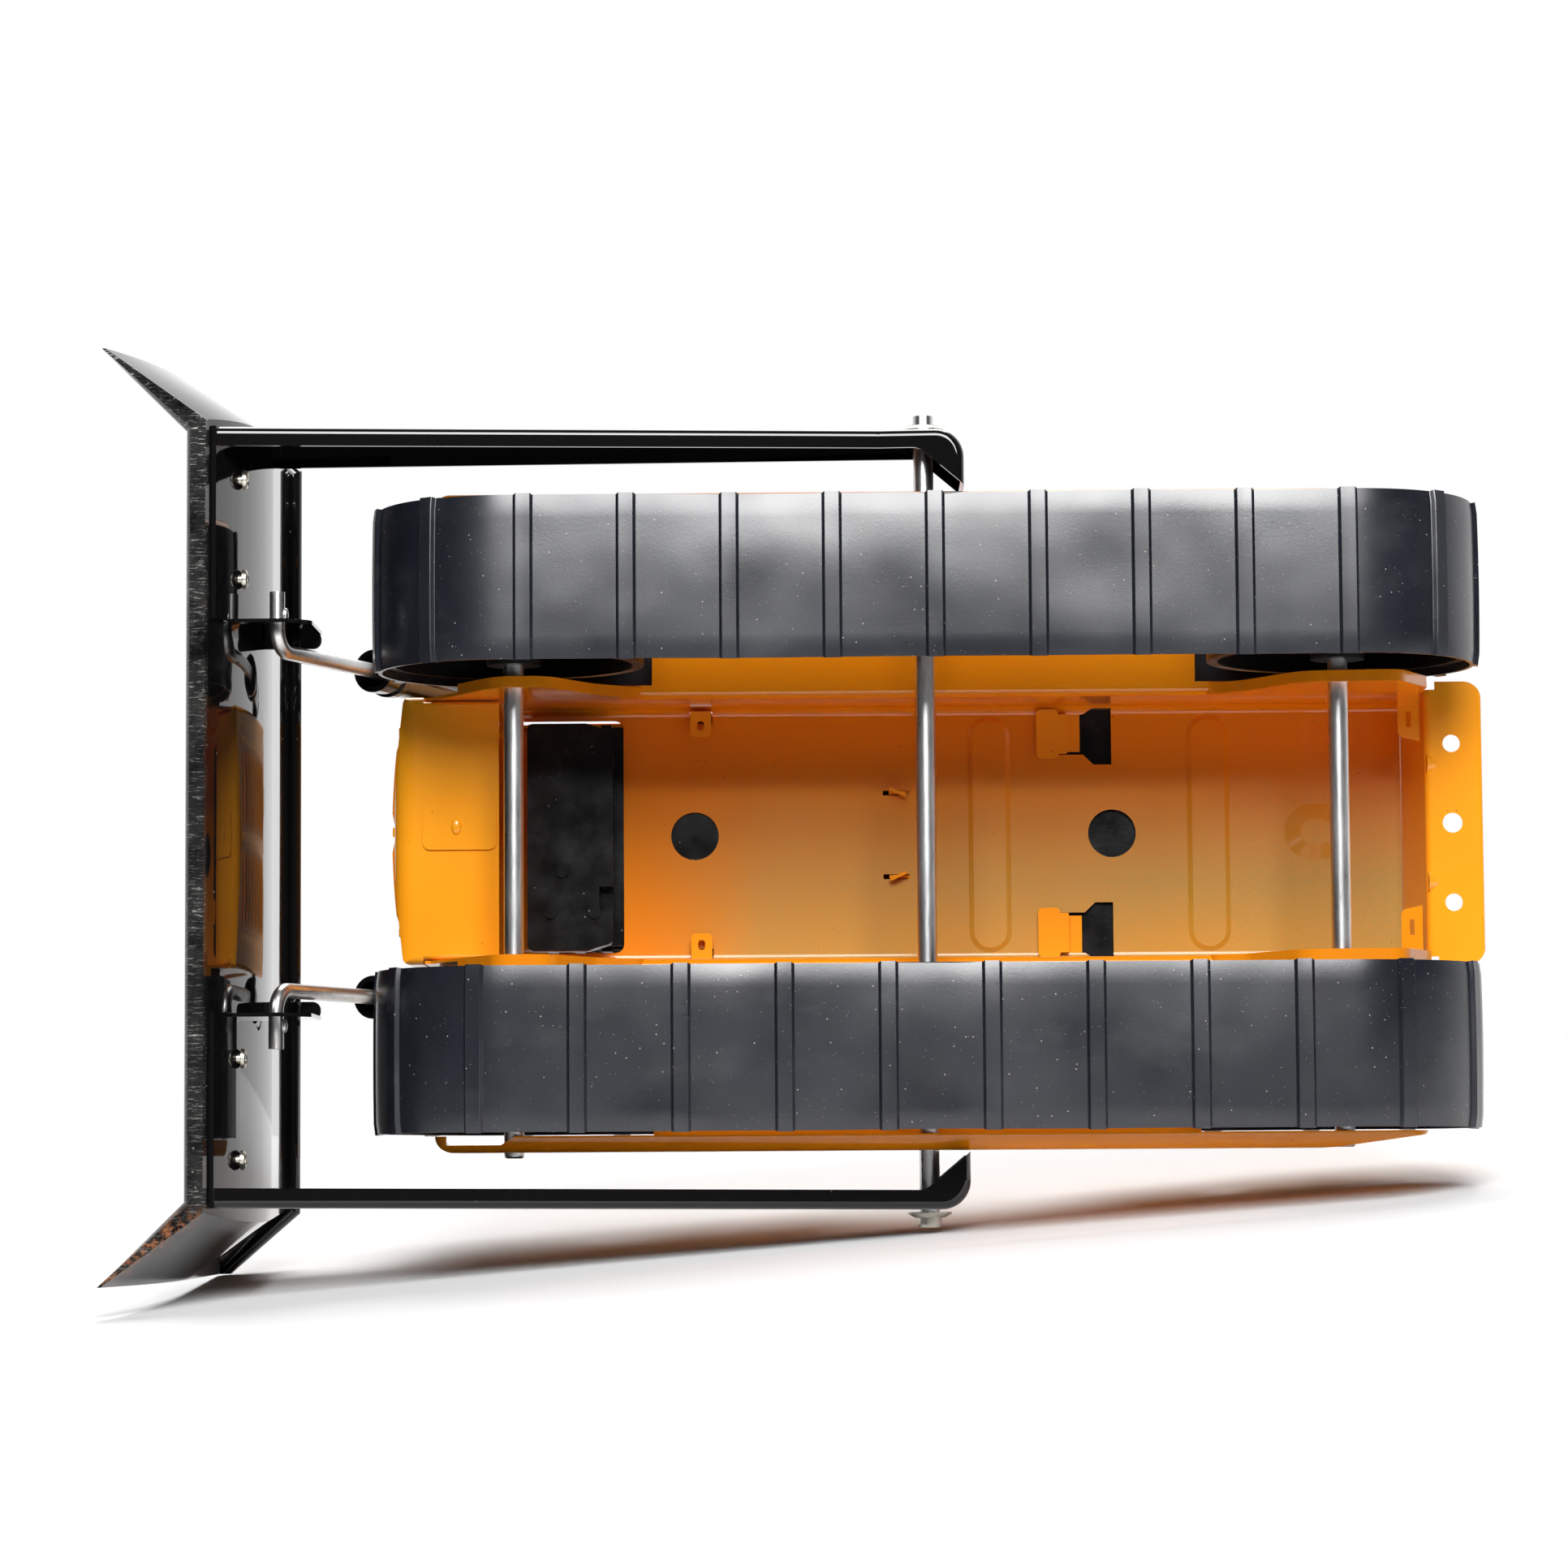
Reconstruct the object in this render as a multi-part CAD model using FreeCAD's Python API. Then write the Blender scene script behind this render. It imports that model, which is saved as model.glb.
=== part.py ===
import FreeCAD, Part

import os
from math import degrees, pi, sin, sqrt, tan

# Pressed-steel toy bulldozer, in millimetres.
# Axes: the blade faces -Y, +X is the driver's left, +Z is up, the ground is z = 0.
# Every sub-part is drawn with y measured from the blade's pivot axle; save() then moves it so
# that the origin is under the middle of the whole toy.

Vector = FreeCAD.Vector

# --- driving dimensions -------------------------------------------------------------------
SHEET = 1.0                    # body sheet steel
HEAVY_SHEET = 1.2              # blade and push-arm sheet steel
AXLE_RADIUS = 3.175            # quarter-inch rod
RUNNING = 0.075                # radial clearance of everything that turns on a rod

# tracks
CLEAT_PITCH = 31.75
CLEATS = 25
CLEAT_HEIGHT = 1.4
CLEAT_WIDTH = 5.4
BELT_THICKNESS = 2.0
WHEEL_SPAN = 130.2             # pivot axle to each wheel axle
BELT_RADIUS = (CLEATS * CLEAT_PITCH - 4 * WHEEL_SPAN) / (2 * pi)
AXLE_Z = BELT_RADIUS + CLEAT_HEIGHT
BELT_INNER_X = 47.0
BELT_OUTER_X = 98.1
LEFT_CLEAT_PHASE = 5.8         # where the first cleat sits past the front wheel's lowest point
RIGHT_CLEAT_PHASE = 22.05

# wheels
WHEEL_RADIUS = BELT_RADIUS - BELT_THICKNESS - 0.3
WHEEL_X = (49.6, 95.6)
WHEEL_HUB_RADIUS = 8.5
WHEEL_RIM = 3.4
WHEEL_WEB = 3.0
WHEEL_RIBS = 6
AXLE_END = 103.8
FRONT_AXLE_SLID = -2.0         # the front axle has crept this far to the right in its holes

# body pan
WALL_X = 43.0                  # outer face of the inner walls
DECK_Z = 110.0                 # top of the deck
FLANGE_Z = 75.5                # top of the side flanges
SKIRT_X = 104.0
SKIRT_BOTTOM = 38.0
SKIRT_FRONT = -155.0
SKIRT_REAR = 156.0
FLANGE_END = 87.5              # the flange stops here, short of each wheel
FLANGE_STRIP_X = 46.3          # only this much of it runs on along the wall
WALL_FRONT = -161.0
DECK_FRONT = -143.0
DECK_REAR = 157.0
WALL_LEAN = 4.0                # the rear wall's foot stands this far behind the deck's end
ENGINE_OPENING_REAR = -98.3
ENGINE_OPENING_HALF = 38.3
LOBE_LIP = 2.6                 # outward rim round each axle lobe
# outlines of the wall's two lobes below the flange, as (y, z, corner radius)
FRONT_LOBE = [(WALL_FRONT, 79.0, 0), (-146.0, 54.0, 12.0), (-135.0, 37.0, 9.0),
              (-119.0, 37.0, 10.0), (-105.5, 61.0, 10.0), (-91.0, 74.0, 6.0), (-90.0, 79.0, 0)]
REAR_LOBE = [(91.0, 79.0, 0), (92.0, 73.0, 6.0), (102.5, 65.0, 8.0), (118.0, 39.0, 12.0),
             (149.0, 35.5, 7.0), (160.0, 58.0, 3.0), (160.3, 79.0, 0)]
DECK_HOLE_RADIUS = 7.85
DECK_HOLES_Y = (-74.9, 62.2)
RIB_Y = (22.0, 93.9)
RIB_HALF_LENGTH = 39.0
RIB_HALF_WIDTH = 6.95
HOOD_TAB_Y = (-76.2, -69.3)
COWL_TAB_X = 13.8
COWL_TAB_Y = (-13.0, -4.3)

# hitch
HITCH_REAR = 179.5
HITCH_HALF = 45.6
HITCH_Z = FLANGE_Z
HITCH_HOLE_Y = 169.6
HITCH_HOLE_SPACING = 25.6
HITCH_SIDE_HOLE = 2.8
HITCH_MIDDLE_HOLE = 3.2
HITCH_DART_X = 19.0

# hood, grille and what stands on the deck
GRILLE_BOTTOM = 74.6
GRILLE_TOP = 168.0
GRILLE_HALF = 41.7             # between the walls
NOSE_HALF = 43.2               # the cap in front of them
NOSE_BACK = WALL_FRONT - 0.4
NOSE_CORNER = 2.4              # radius of its upright corners
NOSE_ROUND = 7.0               # radius of its bottom and top front edges
GRILLE_CORNER_Y = -167.9
GRILLE_APEX_Y = -173.0         # where the front's two slanting ends would meet
GRILLE_BOW_RADIUS = 255.0
GRILLE_NOSE_Y = -171.2         # foremost line of the bowed front
GRILLE_BACK_Y = -137.0
GRILLE_RIBS_X = (-32.5, 0.0, 32.5)
HOOD_HALF = 40.8
HOOD_TOP = 164.0
HOOD_SIDE_BOTTOM = 146.0
HOOD_REAR = -52.0
ENGINE_FINS = 6
STACK_AT = (11.0, -112.0)
STACK_RADIUS = 4.5
STACK_TOP = 222.0
CLEANER_AT = (-11.0, -84.0)
CLEANER_RADIUS = 5.0
COWL = (-52.0, -4.0)
SEAT = (30.0, 92.0)
SEAT_SIDE_X = 42.4             # outer face of the seat frame
TANK = (97.0, 152.0)

# blade
BLADE_SHEET_BOTTOM = -222.1    # back face at the ground
BLADE_SHEET_TOP = -208.7       # back face where it stands upright
BLADE_UPRIGHT_Z = 62.0
BLADE_TOP = 113.0
HEM_DEPTH = 6.2                # folded edge between the wings
TIP_HEM_DEPTH = 1.4            # the same edge once it has tapered away at a wing tip
HEM_HEIGHT = 7.0
BEAD_RADIUS = 2.4
BEND_X = (122.0, 121.0)        # wing bend line, at the ground and at the top
MITRE = 0.5                    # how far the bend runs inwards for each mm of depth
TIP_X = (144.4, 142.3)
TIP_SWEEP = (-31.1, -22.5)     # how far the wing tip lies ahead of the bend

# push arms
ARM_OUTER_X = (120.6, 122.6)   # at the blade and at the pivot
ARM_FLANGE = 6.2
ARM_BOTTOM = (3.5, 31.0)
ARM_TOP = (53.0, 58.5)
ARM_FRONT = -209.0
ARM_BACK = 12.6
ARM_TIP_X = 104.5
BRACKET_TOP = 55.0
PIVOT_END = 128.2              # left end of the pivot axle
PIVOT_SHORT_END = 124.6        # its right end, inside the push cap
EAR_X = (60.6, 61.8)
EAR_Z = (15.0, 50.0)
EAR_REAR = -191.5
RIVET_X = (74.6, 105.9)
RIVET_Z = 19.0
RIVET_RADIUS = 1.6
RIVET_HEAD = 3.1

# lift rods and cylinders
ROD_RADIUS = 2.38              # three-sixteenths-inch rod
ROD_X = 53.1
ROD_OUTER_X = 71.5
ROD_BEND = 7.0
EAR_PIN = (-203.0, 27.0)       # where the rod turns in the ear: y, z
TRUNNION = (-157.1, 140.0)     # where the cylinder turns on the grille: y, z
ROD_LENGTH = 76.0
BARREL_RADIUS = 7.0
BARREL_BORE = 5.2
BARREL_MOUTH = 57.5            # trunnion to the barrel's open end
BARREL_TAIL = 30.0
TRUNNION_RADIUS = 3.0

# --- overall box, from which the origin follows -------------------------------------------
OVERALL_FRONT = BLADE_SHEET_BOTTOM - TIP_HEM_DEPTH + TIP_SWEEP[0]
MIDDLE_Y = (OVERALL_FRONT + HITCH_REAR) / 2


# --- drawing helpers ----------------------------------------------------------------------
def box(x0, x1, y0, y1, z0, z1):
    return Part.makeBox(x1 - x0, y1 - y0, z1 - z0, Vector(x0, y0, z0))


def fuse(shapes):
    whole = shapes[0].multiFuse(shapes[1:]) if len(shapes) > 1 else shapes[0]
    return whole.removeSplitter()


def cut(shape, tools):
    return shape.cut(tools).removeSplitter()


def mirrored(shape):
    return shape.mirror(Vector(0, 0, 0), Vector(1, 0, 0))


def both(shape):
    return [shape, mirrored(shape)]


def rod_x(radius, x0, x1, y, z):
    return Part.makeCylinder(radius, x1 - x0, Vector(x0, y, z), Vector(1, 0, 0))


def rod_z(radius, z0, z1, x, y):
    return Part.makeCylinder(radius, z1 - z0, Vector(x, y, z0), Vector(0, 0, 1))


def rounded_wire(corners, place):
    """Closed wire through (u, v, radius) corners; place(u, v) puts a point in space."""
    count = len(corners)
    pieces = []
    for i, (u, v, radius) in enumerate(corners):
        here = Vector(u, v, 0)
        before = Vector(corners[i - 1][0], corners[i - 1][1], 0) - here
        after = Vector(corners[(i + 1) % count][0], corners[(i + 1) % count][1], 0) - here
        before.normalize()
        after.normalize()
        half = before.getAngle(after) / 2
        reach = radius / tan(half)
        middle = here
        if radius > 0:
            inward = (before + after).normalize()
            middle = here + inward * (radius / sin(half) - radius)
        pieces.append((here + before * reach, middle, here + after * reach, radius))
    edges = []
    for i, (start, middle, end, radius) in enumerate(pieces):
        if radius > 0:
            arc = Part.Arc(place(start.x, start.y), place(middle.x, middle.y), place(end.x, end.y))
            edges.append(arc.toShape())
        following = pieces[(i + 1) % count][0]
        if (following - end).Length > 1e-4:
            edges.append(Part.makeLine(place(end.x, end.y), place(following.x, following.y)))
    return Part.Wire(edges)


def prism_x(corners, x0, x1):
    """Outline in (y, z) carried along X."""
    wire = rounded_wire(corners, lambda y, z: Vector(x0, y, z))
    return Part.Face(wire).extrude(Vector(x1 - x0, 0, 0))


def prism_y(corners, y0, y1):
    """Outline in (x, z) carried along Y."""
    wire = rounded_wire(corners, lambda x, z: Vector(x, y0, z))
    return Part.Face(wire).extrude(Vector(0, y1 - y0, 0))


def prism_z(corners, z0, z1):
    """Outline in (x, y) carried along Z."""
    wire = rounded_wire(corners, lambda x, y: Vector(x, y, z0))
    return Part.Face(wire).extrude(Vector(0, 0, z1 - z0))


def block(x0, x1, y0, y1, z0, z1, radius):
    """Box with upright corners of the given radius."""
    return prism_z([(x0, y0, radius), (x1, y0, radius), (x1, y1, radius), (x0, y1, radius)], z0, z1)


def ellipsoid(half_x, half_y, half_z):
    """Ellipsoid round the origin."""
    stretch = FreeCAD.Matrix()
    stretch.A11 = half_x
    stretch.A22 = half_y
    stretch.A33 = half_z
    return Part.makeSphere(1.0).transformGeometry(stretch)


def soften(shape, radius, wanted):
    """Fillet the edges whose middle point passes the test."""
    edges = [edge for edge in shape.Edges if wanted(edge.CenterOfMass, edge)]
    return shape.makeFillet(radius, edges)


def save(shape, node):
    placed = shape.copy()
    placed.translate(Vector(0, -MIDDLE_Y, 0))
    placed.exportStep("parts/%s.step" % node)


# --- body pan -----------------------------------------------------------------------------
def hat_section():
    """Deck, walls, side flanges and the top of the skirts, as one bent sheet."""
    t = SHEET
    half_outer = [(WALL_X, DECK_Z, 4.0), (WALL_X, FLANGE_Z, 1.5), (SKIRT_X, FLANGE_Z, 5.0),
                  (SKIRT_X, FLANGE_Z - 12, 0)]
    half_inner = [(SKIRT_X - t, FLANGE_Z - 12, 0), (SKIRT_X - t, FLANGE_Z - t, 4.0),
                  (WALL_X - t, FLANGE_Z - t, 2.5), (WALL_X - t, DECK_Z - t, 3.0)]
    outline = half_outer + half_inner
    outline += [(-x, z, r) for x, z, r in reversed(outline)]
    return prism_y(outline, DECK_FRONT, DECK_REAR + WALL_LEAN)


def wall_front():
    """The left wall's run past the deck, up to the grille's nose."""
    return prism_x([(WALL_FRONT, 76.0, 0), (DECK_FRONT + 1, 76.0, 0), (DECK_FRONT + 1, DECK_Z, 0),
                    (WALL_FRONT, DECK_Z, 5.0)], WALL_X - SHEET, WALL_X)


def skirt():
    """Left side panel: a shallow pressed tray, open inwards and upwards."""
    lip = 5.2

    def tray_block(inset, inner_x, top):
        outer = SKIRT_X - inset
        front, rear, low = SKIRT_FRONT + inset, SKIRT_REAR - inset, SKIRT_BOTTOM + inset
        plan = [(inner_x, front, 0), (outer, front, 6.0 - inset), (outer, rear - 30, 50),
                (outer - lip + 1.2, rear, 2.0), (inner_x, rear, 0)]
        section = [(inner_x, low, 0), (outer, low, 4.6 - inset), (outer, top, 0),
                   (inner_x, top, 0)]
        side = [(front, low, 5.0 - inset), (rear, low, 5.0 - inset), (rear, top, 0),
                (front, top, 0)]
        solid = prism_z(plan, low - 1, top + 1)
        solid = solid.common(prism_y(section, front - 1, rear + 1))
        return solid.common(prism_x(side, inner_x - 1, outer + 1))

    outside = tray_block(0.0, SKIRT_X - lip, FLANGE_Z - 5)
    inside = tray_block(SHEET, SKIRT_X - lip - 3, FLANGE_Z + 1)
    relief = prism_z([(90, -151, 0), (101.6, -151, 0), (101.6, -134, 0), (98, -128, 0),
                      (90, -128, 0)], SKIRT_BOTTOM - 1, SKIRT_BOTTOM + 8)
    return outside.cut(inside).cut(relief)


def axle_lobe(corners):
    """The part of the left wall that drops below the flange, with a rim turned outwards."""
    sheet = prism_x(corners, WALL_X - SHEET, WALL_X)
    rim = prism_x(corners, WALL_X - SHEET, WALL_X + LOBE_LIP)
    y0, y1 = corners[0][0], corners[-1][0]
    top = corners[0][1]
    inner = [(y0 - 9, top + 1, 0)]
    inner += [(y + (1.0 if y < (y0 + y1) / 2 else -1.0), z + 1.1, max(r - 1, 0))
              for y, z, r in corners[1:-1]]
    inner += [(y1 + 9, top + 1, 0)]
    rim = rim.cut(prism_x(inner, WALL_X, WALL_X + LOBE_LIP + 1))
    below_flange = box(WALL_X - 2, WALL_X + 5, y0 - 1, y1 + 1, 0, FLANGE_Z)
    return sheet.fuse(rim.common(below_flange))


def pressed_pad(plan, depth, slope):
    """Shape pressed down out of the deck: the solid to add and the hollow to take from above."""
    top = DECK_Z - SHEET
    pad = prism_z(plan, top - depth, DECK_Z - 0.5)
    rim = [edge for edge in pad.Edges if edge.CenterOfMass.z < top - depth + 0.01]
    pad = pad.makeChamfer(depth, slope, rim)
    hollow = pad.copy()
    hollow.translate(Vector(0, 0, SHEET))
    return pad, hollow


def stadium_plan(half_x, y0, y1):
    """Rounded-end plan for a pressed shape."""
    radius = min(half_x, (y1 - y0) / 2) - 0.01
    return [(-half_x, y0, radius), (half_x, y0, radius), (half_x, y1, radius),
            (-half_x, y1, radius)]


def deck_slot():
    """Left slot for the seat frame's tab, with one sloping corner."""
    plan = [(26.0, 45.0, 0), (39.3, 45.0, 0), (39.3, 53.0, 0), (41.3, 56.0, 0), (41.3, 62.3, 0),
            (22.7, 62.3, 0), (22.7, 56.4, 0), (26.0, 53.0, 0)]
    return prism_z(plan, 100, 120)


def make_body_pan():
    shape = hat_section()
    wheel_room = [box(FLANGE_STRIP_X, 110, FLANGE_END, 170, 55, 80),
                  box(FLANGE_STRIP_X, 110, DECK_FRONT - 1, -FLANGE_END, 55, 80)]
    shape = shape.cut([room for side in wheel_room for room in both(side)])
    leaning_end = prism_x([(DECK_REAR, DECK_Z + 1, 0), (DECK_REAR, DECK_Z, 0),
                           (DECK_REAR + WALL_LEAN, FLANGE_Z, 0), (DECK_REAR + WALL_LEAN, 60, 0),
                           (180, 60, 0), (180, DECK_Z + 1, 0)], -60, 60)
    shape = shape.cut(leaning_end)
    pressed = [pressed_pad(stadium_plan(RIB_HALF_LENGTH, y - RIB_HALF_WIDTH, y + RIB_HALF_WIDTH),
                           0.9, 1.6) for y in RIB_Y]
    pressed.append(pressed_pad(stadium_plan(9.1, 118.8, 139.6), 2.0, 5.0))
    for side in (-1, 1):
        corner = [(side * 28.0, 152.6, 2.0), (side * 42.5, 152.6, 0), (side * 42.5, 159.4, 0),
                  (side * 26.5, 159.4, 0)]
        tab = prism_z(corner, FLANGE_Z - 1.0, FLANGE_Z)
        shape = shape.fuse(tab)
    pads = [pad for pad, hollow in pressed]
    shape = fuse([shape] + both(skirt()) + both(wall_front()) + both(axle_lobe(FRONT_LOBE))
                 + both(axle_lobe(REAR_LOBE)) + pads)

    openings = [hollow for pad, hollow in pressed]
    openings.append(block(-ENGINE_OPENING_HALF, ENGINE_OPENING_HALF, DECK_FRONT - 9,
                          ENGINE_OPENING_REAR, 100, 120, 3.0))
    openings.append(box(-GRILLE_HALF - 0.3, GRILLE_HALF + 0.3, DECK_FRONT - 1, GRILLE_BACK_Y + 0.3,
                        100, 120))
    openings += [rod_z(DECK_HOLE_RADIUS, 100, 120, 0, y) for y in DECK_HOLES_Y]
    openings += both(deck_slot())
    openings += both(box(37.0, 41.0, HOOD_TAB_Y[0] - 0.3, HOOD_TAB_Y[1] + 0.3, 100, 120))
    openings += both(box(COWL_TAB_X - 0.8, COWL_TAB_X + 0.8, *COWL_TAB_Y, 100, 120))
    openings += both(box(31.0, 36.0, 155.2, 156.8, 70, 80))
    for y in (-WHEEL_SPAN, 0.0, WHEEL_SPAN):
        openings.append(rod_x(AXLE_RADIUS, -120, 120, y, AXLE_Z))
    return cut(shape, openings)


def make_hitch_plate():
    """Leaning rear wall and drawbar plate, one bent sheet with two pressed darts."""
    t = SHEET
    top_y = DECK_REAR + 0.2
    foot_y = top_y + WALL_LEAN
    section = [(top_y, DECK_Z, 0), (foot_y, HITCH_Z - t, 2.2), (HITCH_REAR, HITCH_Z - t, 1.6),
               (HITCH_REAR, HITCH_Z + 3.4, 0), (HITCH_REAR - t, HITCH_Z + 3.4, 0),
               (HITCH_REAR - t, HITCH_Z, 0.6), (foot_y + t, HITCH_Z, 1.2), (top_y + t, DECK_Z, 0)]
    plate = prism_x(section, -HITCH_HALF, HITCH_HALF)
    corners = [(-HITCH_HALF, 150, 0), (HITCH_HALF, 150, 0), (HITCH_HALF, HITCH_REAR, 6),
               (-HITCH_HALF, HITCH_REAR, 6)]
    plate = plate.common(prism_z(corners, 60, 120))
    plate = plate.cut(both(box(WALL_X, 50, 150, 164.5, 60, 120)))
    dart = Part.makeCone(3.2, 0.3, 6.0, Vector(HITCH_DART_X, foot_y + 0.2, HITCH_Z + 0.2),
                         Vector(0, 1, 0.1))
    plate = fuse([plate] + both(dart))
    holes = [rod_z(HITCH_MIDDLE_HOLE, 60, 90, 0, HITCH_HOLE_Y)]
    holes += [rod_z(HITCH_SIDE_HOLE, 60, 90, x, HITCH_HOLE_Y)
              for x in (-HITCH_HOLE_SPACING, HITCH_HOLE_SPACING)]
    return cut(plate, holes)


# --- hood, grille, engine -----------------------------------------------------------------
def nose_block(half, inset):
    """Cap in front of the walls: a bowed front, rounded all round its face."""
    corner_y = GRILLE_CORNER_Y + inset
    nose_y = GRILLE_NOSE_Y + inset
    small, large = NOSE_CORNER - inset, NOSE_ROUND - inset
    bottom, top = GRILLE_BOTTOM + inset, GRILLE_TOP - inset
    plan = [(-half, NOSE_BACK, 0), (-half, corner_y, small),
            (0, GRILLE_APEX_Y + inset, GRILLE_BOW_RADIUS), (half, corner_y, small),
            (half, NOSE_BACK, 0)]
    side = [(NOSE_BACK, bottom, 0), (nose_y, bottom, large), (nose_y, top, large),
            (NOSE_BACK, top, 0)]
    front = [(-half, bottom, small), (half, bottom, small), (half, top, small + 2),
             (-half, top, small + 2)]
    solid = prism_z(plan, bottom, top)
    solid = solid.common(prism_x(side, -half, half))
    return solid.common(prism_y(front, nose_y - 1, NOSE_BACK))


def grille_tube(inset, front, back):
    """Block of the grille's width between the walls, with rounded top corners."""
    half = GRILLE_HALF - inset
    bottom, top = GRILLE_BOTTOM + inset, GRILLE_TOP - inset
    outline = [(-half, bottom, 1.5 - inset), (half, bottom, 1.5 - inset),
               (half, top, 5.0 - inset), (-half, top, 5.0 - inset)]
    return prism_y(outline, front, back)


def make_grille_shell():
    """Nose cap, and behind it a tube of sheet that sits between the walls."""
    t = SHEET
    cap = nose_block(NOSE_HALF, 0.0).cut(nose_block(GRILLE_HALF - t, t))
    tube = grille_tube(0.0, NOSE_BACK - 0.5, GRILLE_BACK_Y)
    tube = tube.cut(grille_tube(t, NOSE_BACK - 2.0, GRILLE_BACK_Y + 1))
    pieces = [cap, tube]
    rise = (GRILLE_CORNER_Y - GRILLE_APEX_Y) / NOSE_HALF
    for x in GRILLE_RIBS_X:
        straight_y = GRILLE_APEX_Y + rise * abs(x)
        face_y = max(straight_y, GRILLE_NOSE_Y)
        pieces.append(block(x - 1.6, x + 1.6, face_y - 0.8, face_y + 1.6, GRILLE_BOTTOM + 8,
                            GRILLE_TOP - 8, 0.6))
    pieces.append(block(-6.4, 8.6, -161.6, GRILLE_BACK_Y - 0.8, GRILLE_BOTTOM - 0.8,
                        GRILLE_BOTTOM + 0.2, 2.6))
    dimple = ellipsoid(2.8, 1.7, 1.0)
    dimple.translate(Vector(1.1, -150.7, GRILLE_BOTTOM - 0.7))
    pieces.append(dimple)
    bores = [rod_x(TRUNNION_RADIUS + RUNNING, x, x + 12, *TRUNNION) for x in (36, -48)]
    return cut(fuse(pieces), bores)


def make_hood():
    """Channel of sheet over the engine, with two long side straps down to the deck."""
    t = SHEET
    front = GRILLE_BACK_Y + 0.3

    def channel(inset, bottom, y0, y1):
        half = HOOD_HALF - inset
        top = HOOD_TOP - inset
        outline = [(-half, bottom, 0), (-half, top, 7.0 - inset), (half, top, 7.0 - inset),
                   (half, bottom, 0)]
        return prism_y(outline, y0, y1)

    shell = channel(0, HOOD_SIDE_BOTTOM, front, HOOD_REAR)
    shell = shell.cut(channel(t, HOOD_SIDE_BOTTOM - 1, front - 1, HOOD_REAR + 1))
    strap = prism_x([(-88.0, HOOD_SIDE_BOTTOM + 2, 0), (-81.0, DECK_Z + 6, 3), (-81.0, DECK_Z, 0),
                     (-64.0, DECK_Z, 0), (-64.0, DECK_Z + 6, 3), (-58.0, HOOD_SIDE_BOTTOM + 2, 0)],
                    HOOD_HALF - t, HOOD_HALF)
    y0, y1 = HOOD_TAB_Y
    drop = box(HOOD_HALF - 1.2, HOOD_HALF, y0, y1, DECK_Z - 4.6, DECK_Z + 0.5)
    clinch = block(32.3, HOOD_HALF, y0, y1, DECK_Z - 5.4, DECK_Z - 4.2, 1.6)
    clinch = clinch.fuse(box(39.0, HOOD_HALF, y0, y1, DECK_Z - 5.4, DECK_Z - 4.2))
    clinch = clinch.cut(block(34.4, 37.6, y0 + 2.3, y1 - 2.3, DECK_Z - 7, DECK_Z - 3, 1.0))
    creases = []
    for y in (-128.0, -98.0, -68.0):
        creases.append(block(-22, 22, y - 1.5, y + 1.5, HOOD_TOP - 0.5, HOOD_TOP + 0.8, 1.4))
    ribs = both(prism_x([(front + 4, 151, 1.5), (HOOD_REAR - 4, 151, 1.5), (HOOD_REAR - 4, 154, 1.5),
                         (front + 4, 154, 1.5)], HOOD_HALF - 0.5, HOOD_HALF + 0.8))
    sides = [piece for part in (strap, drop, clinch) for piece in both(part)]
    shell = fuse([shell] + sides + creases + ribs)
    stack_holes = [rod_z(STACK_RADIUS + 0.02, 150, 175, *STACK_AT),
                   rod_z(CLEANER_RADIUS + 0.02, 150, 175, *CLEANER_AT)]
    return cut(shell, stack_holes)


def make_engine():
    """Moulded engine: a block that sits in the bay with cylinder heads and louvred sides."""
    low, mid, top = 99.0, DECK_Z + 0.2, 144.0
    half = 35.8
    sump = prism_z([(-37.8, -129.5, 2.0), (36.6, -129.5, 2.0), (36.6, -110.0, 3.0),
                    (34.0, -101.5, 2.5), (-35.5, -101.5, 2.5), (-37.8, -110.0, 3.0)],
                   low, mid + 0.5)
    pan_recess = prism_z([(-25.4, -106.0, 0), (-17.0, -106.0, 0), (-17.0, -100.0, 0),
                          (-25.4, -100.0, 0)], low - 1, low + 6)
    body = block(-half, half, -129.0, -62.0, mid, top, 2.0)
    pieces = [sump.cut(pan_recess), body]
    for i in range(ENGINE_FINS):
        y = -124.0 + i * 9.0
        pieces += both(box(half - 0.5, half + 1.7, y, y + 3.4, mid + 4, top - 3))
    for z in (mid + 6, mid + 18):
        pieces += both(box(half - 0.5, half + 1.1, -126.0, -66.0, z, z + 2.0))
    for y in (-118.0, -94.0):
        pieces.append(rod_z(9.0, top - 1, top + 6, 0, y))
    for x, y in ((-25.4, -107.5), (-25.4, -122.0), (-12.0, -118.0)):
        pieces.append(rod_z(2.1, low - 0.9, low + 1, x, y))
    for i in range(4):
        x = 18.0 + i * 2.7
        pieces.append(box(x, x + 1.5, -103.0, -98.8, mid + 2.0, mid + 12))
    return fuse(pieces)


def make_exhaust_stack():
    x, y = STACK_AT
    pipe = rod_z(STACK_RADIUS, 150.2, STACK_TOP, x, y)
    muffler = rod_z(8.0, HOOD_TOP + 8, HOOD_TOP + 34, x, y)
    muffler = soften(muffler, 2.5, lambda c, e: e.Length > 20)
    bore = rod_z(STACK_RADIUS - 1.2, STACK_TOP - 14, STACK_TOP + 1, x, y)
    slant = Part.makeBox(30, 30, 30, Vector(x - 15, y - 15, STACK_TOP - 4))
    slant.rotate(Vector(x, y, STACK_TOP - 4), Vector(1, 0, 0), -28)
    return cut(fuse([pipe, muffler]), [bore, slant])


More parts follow.
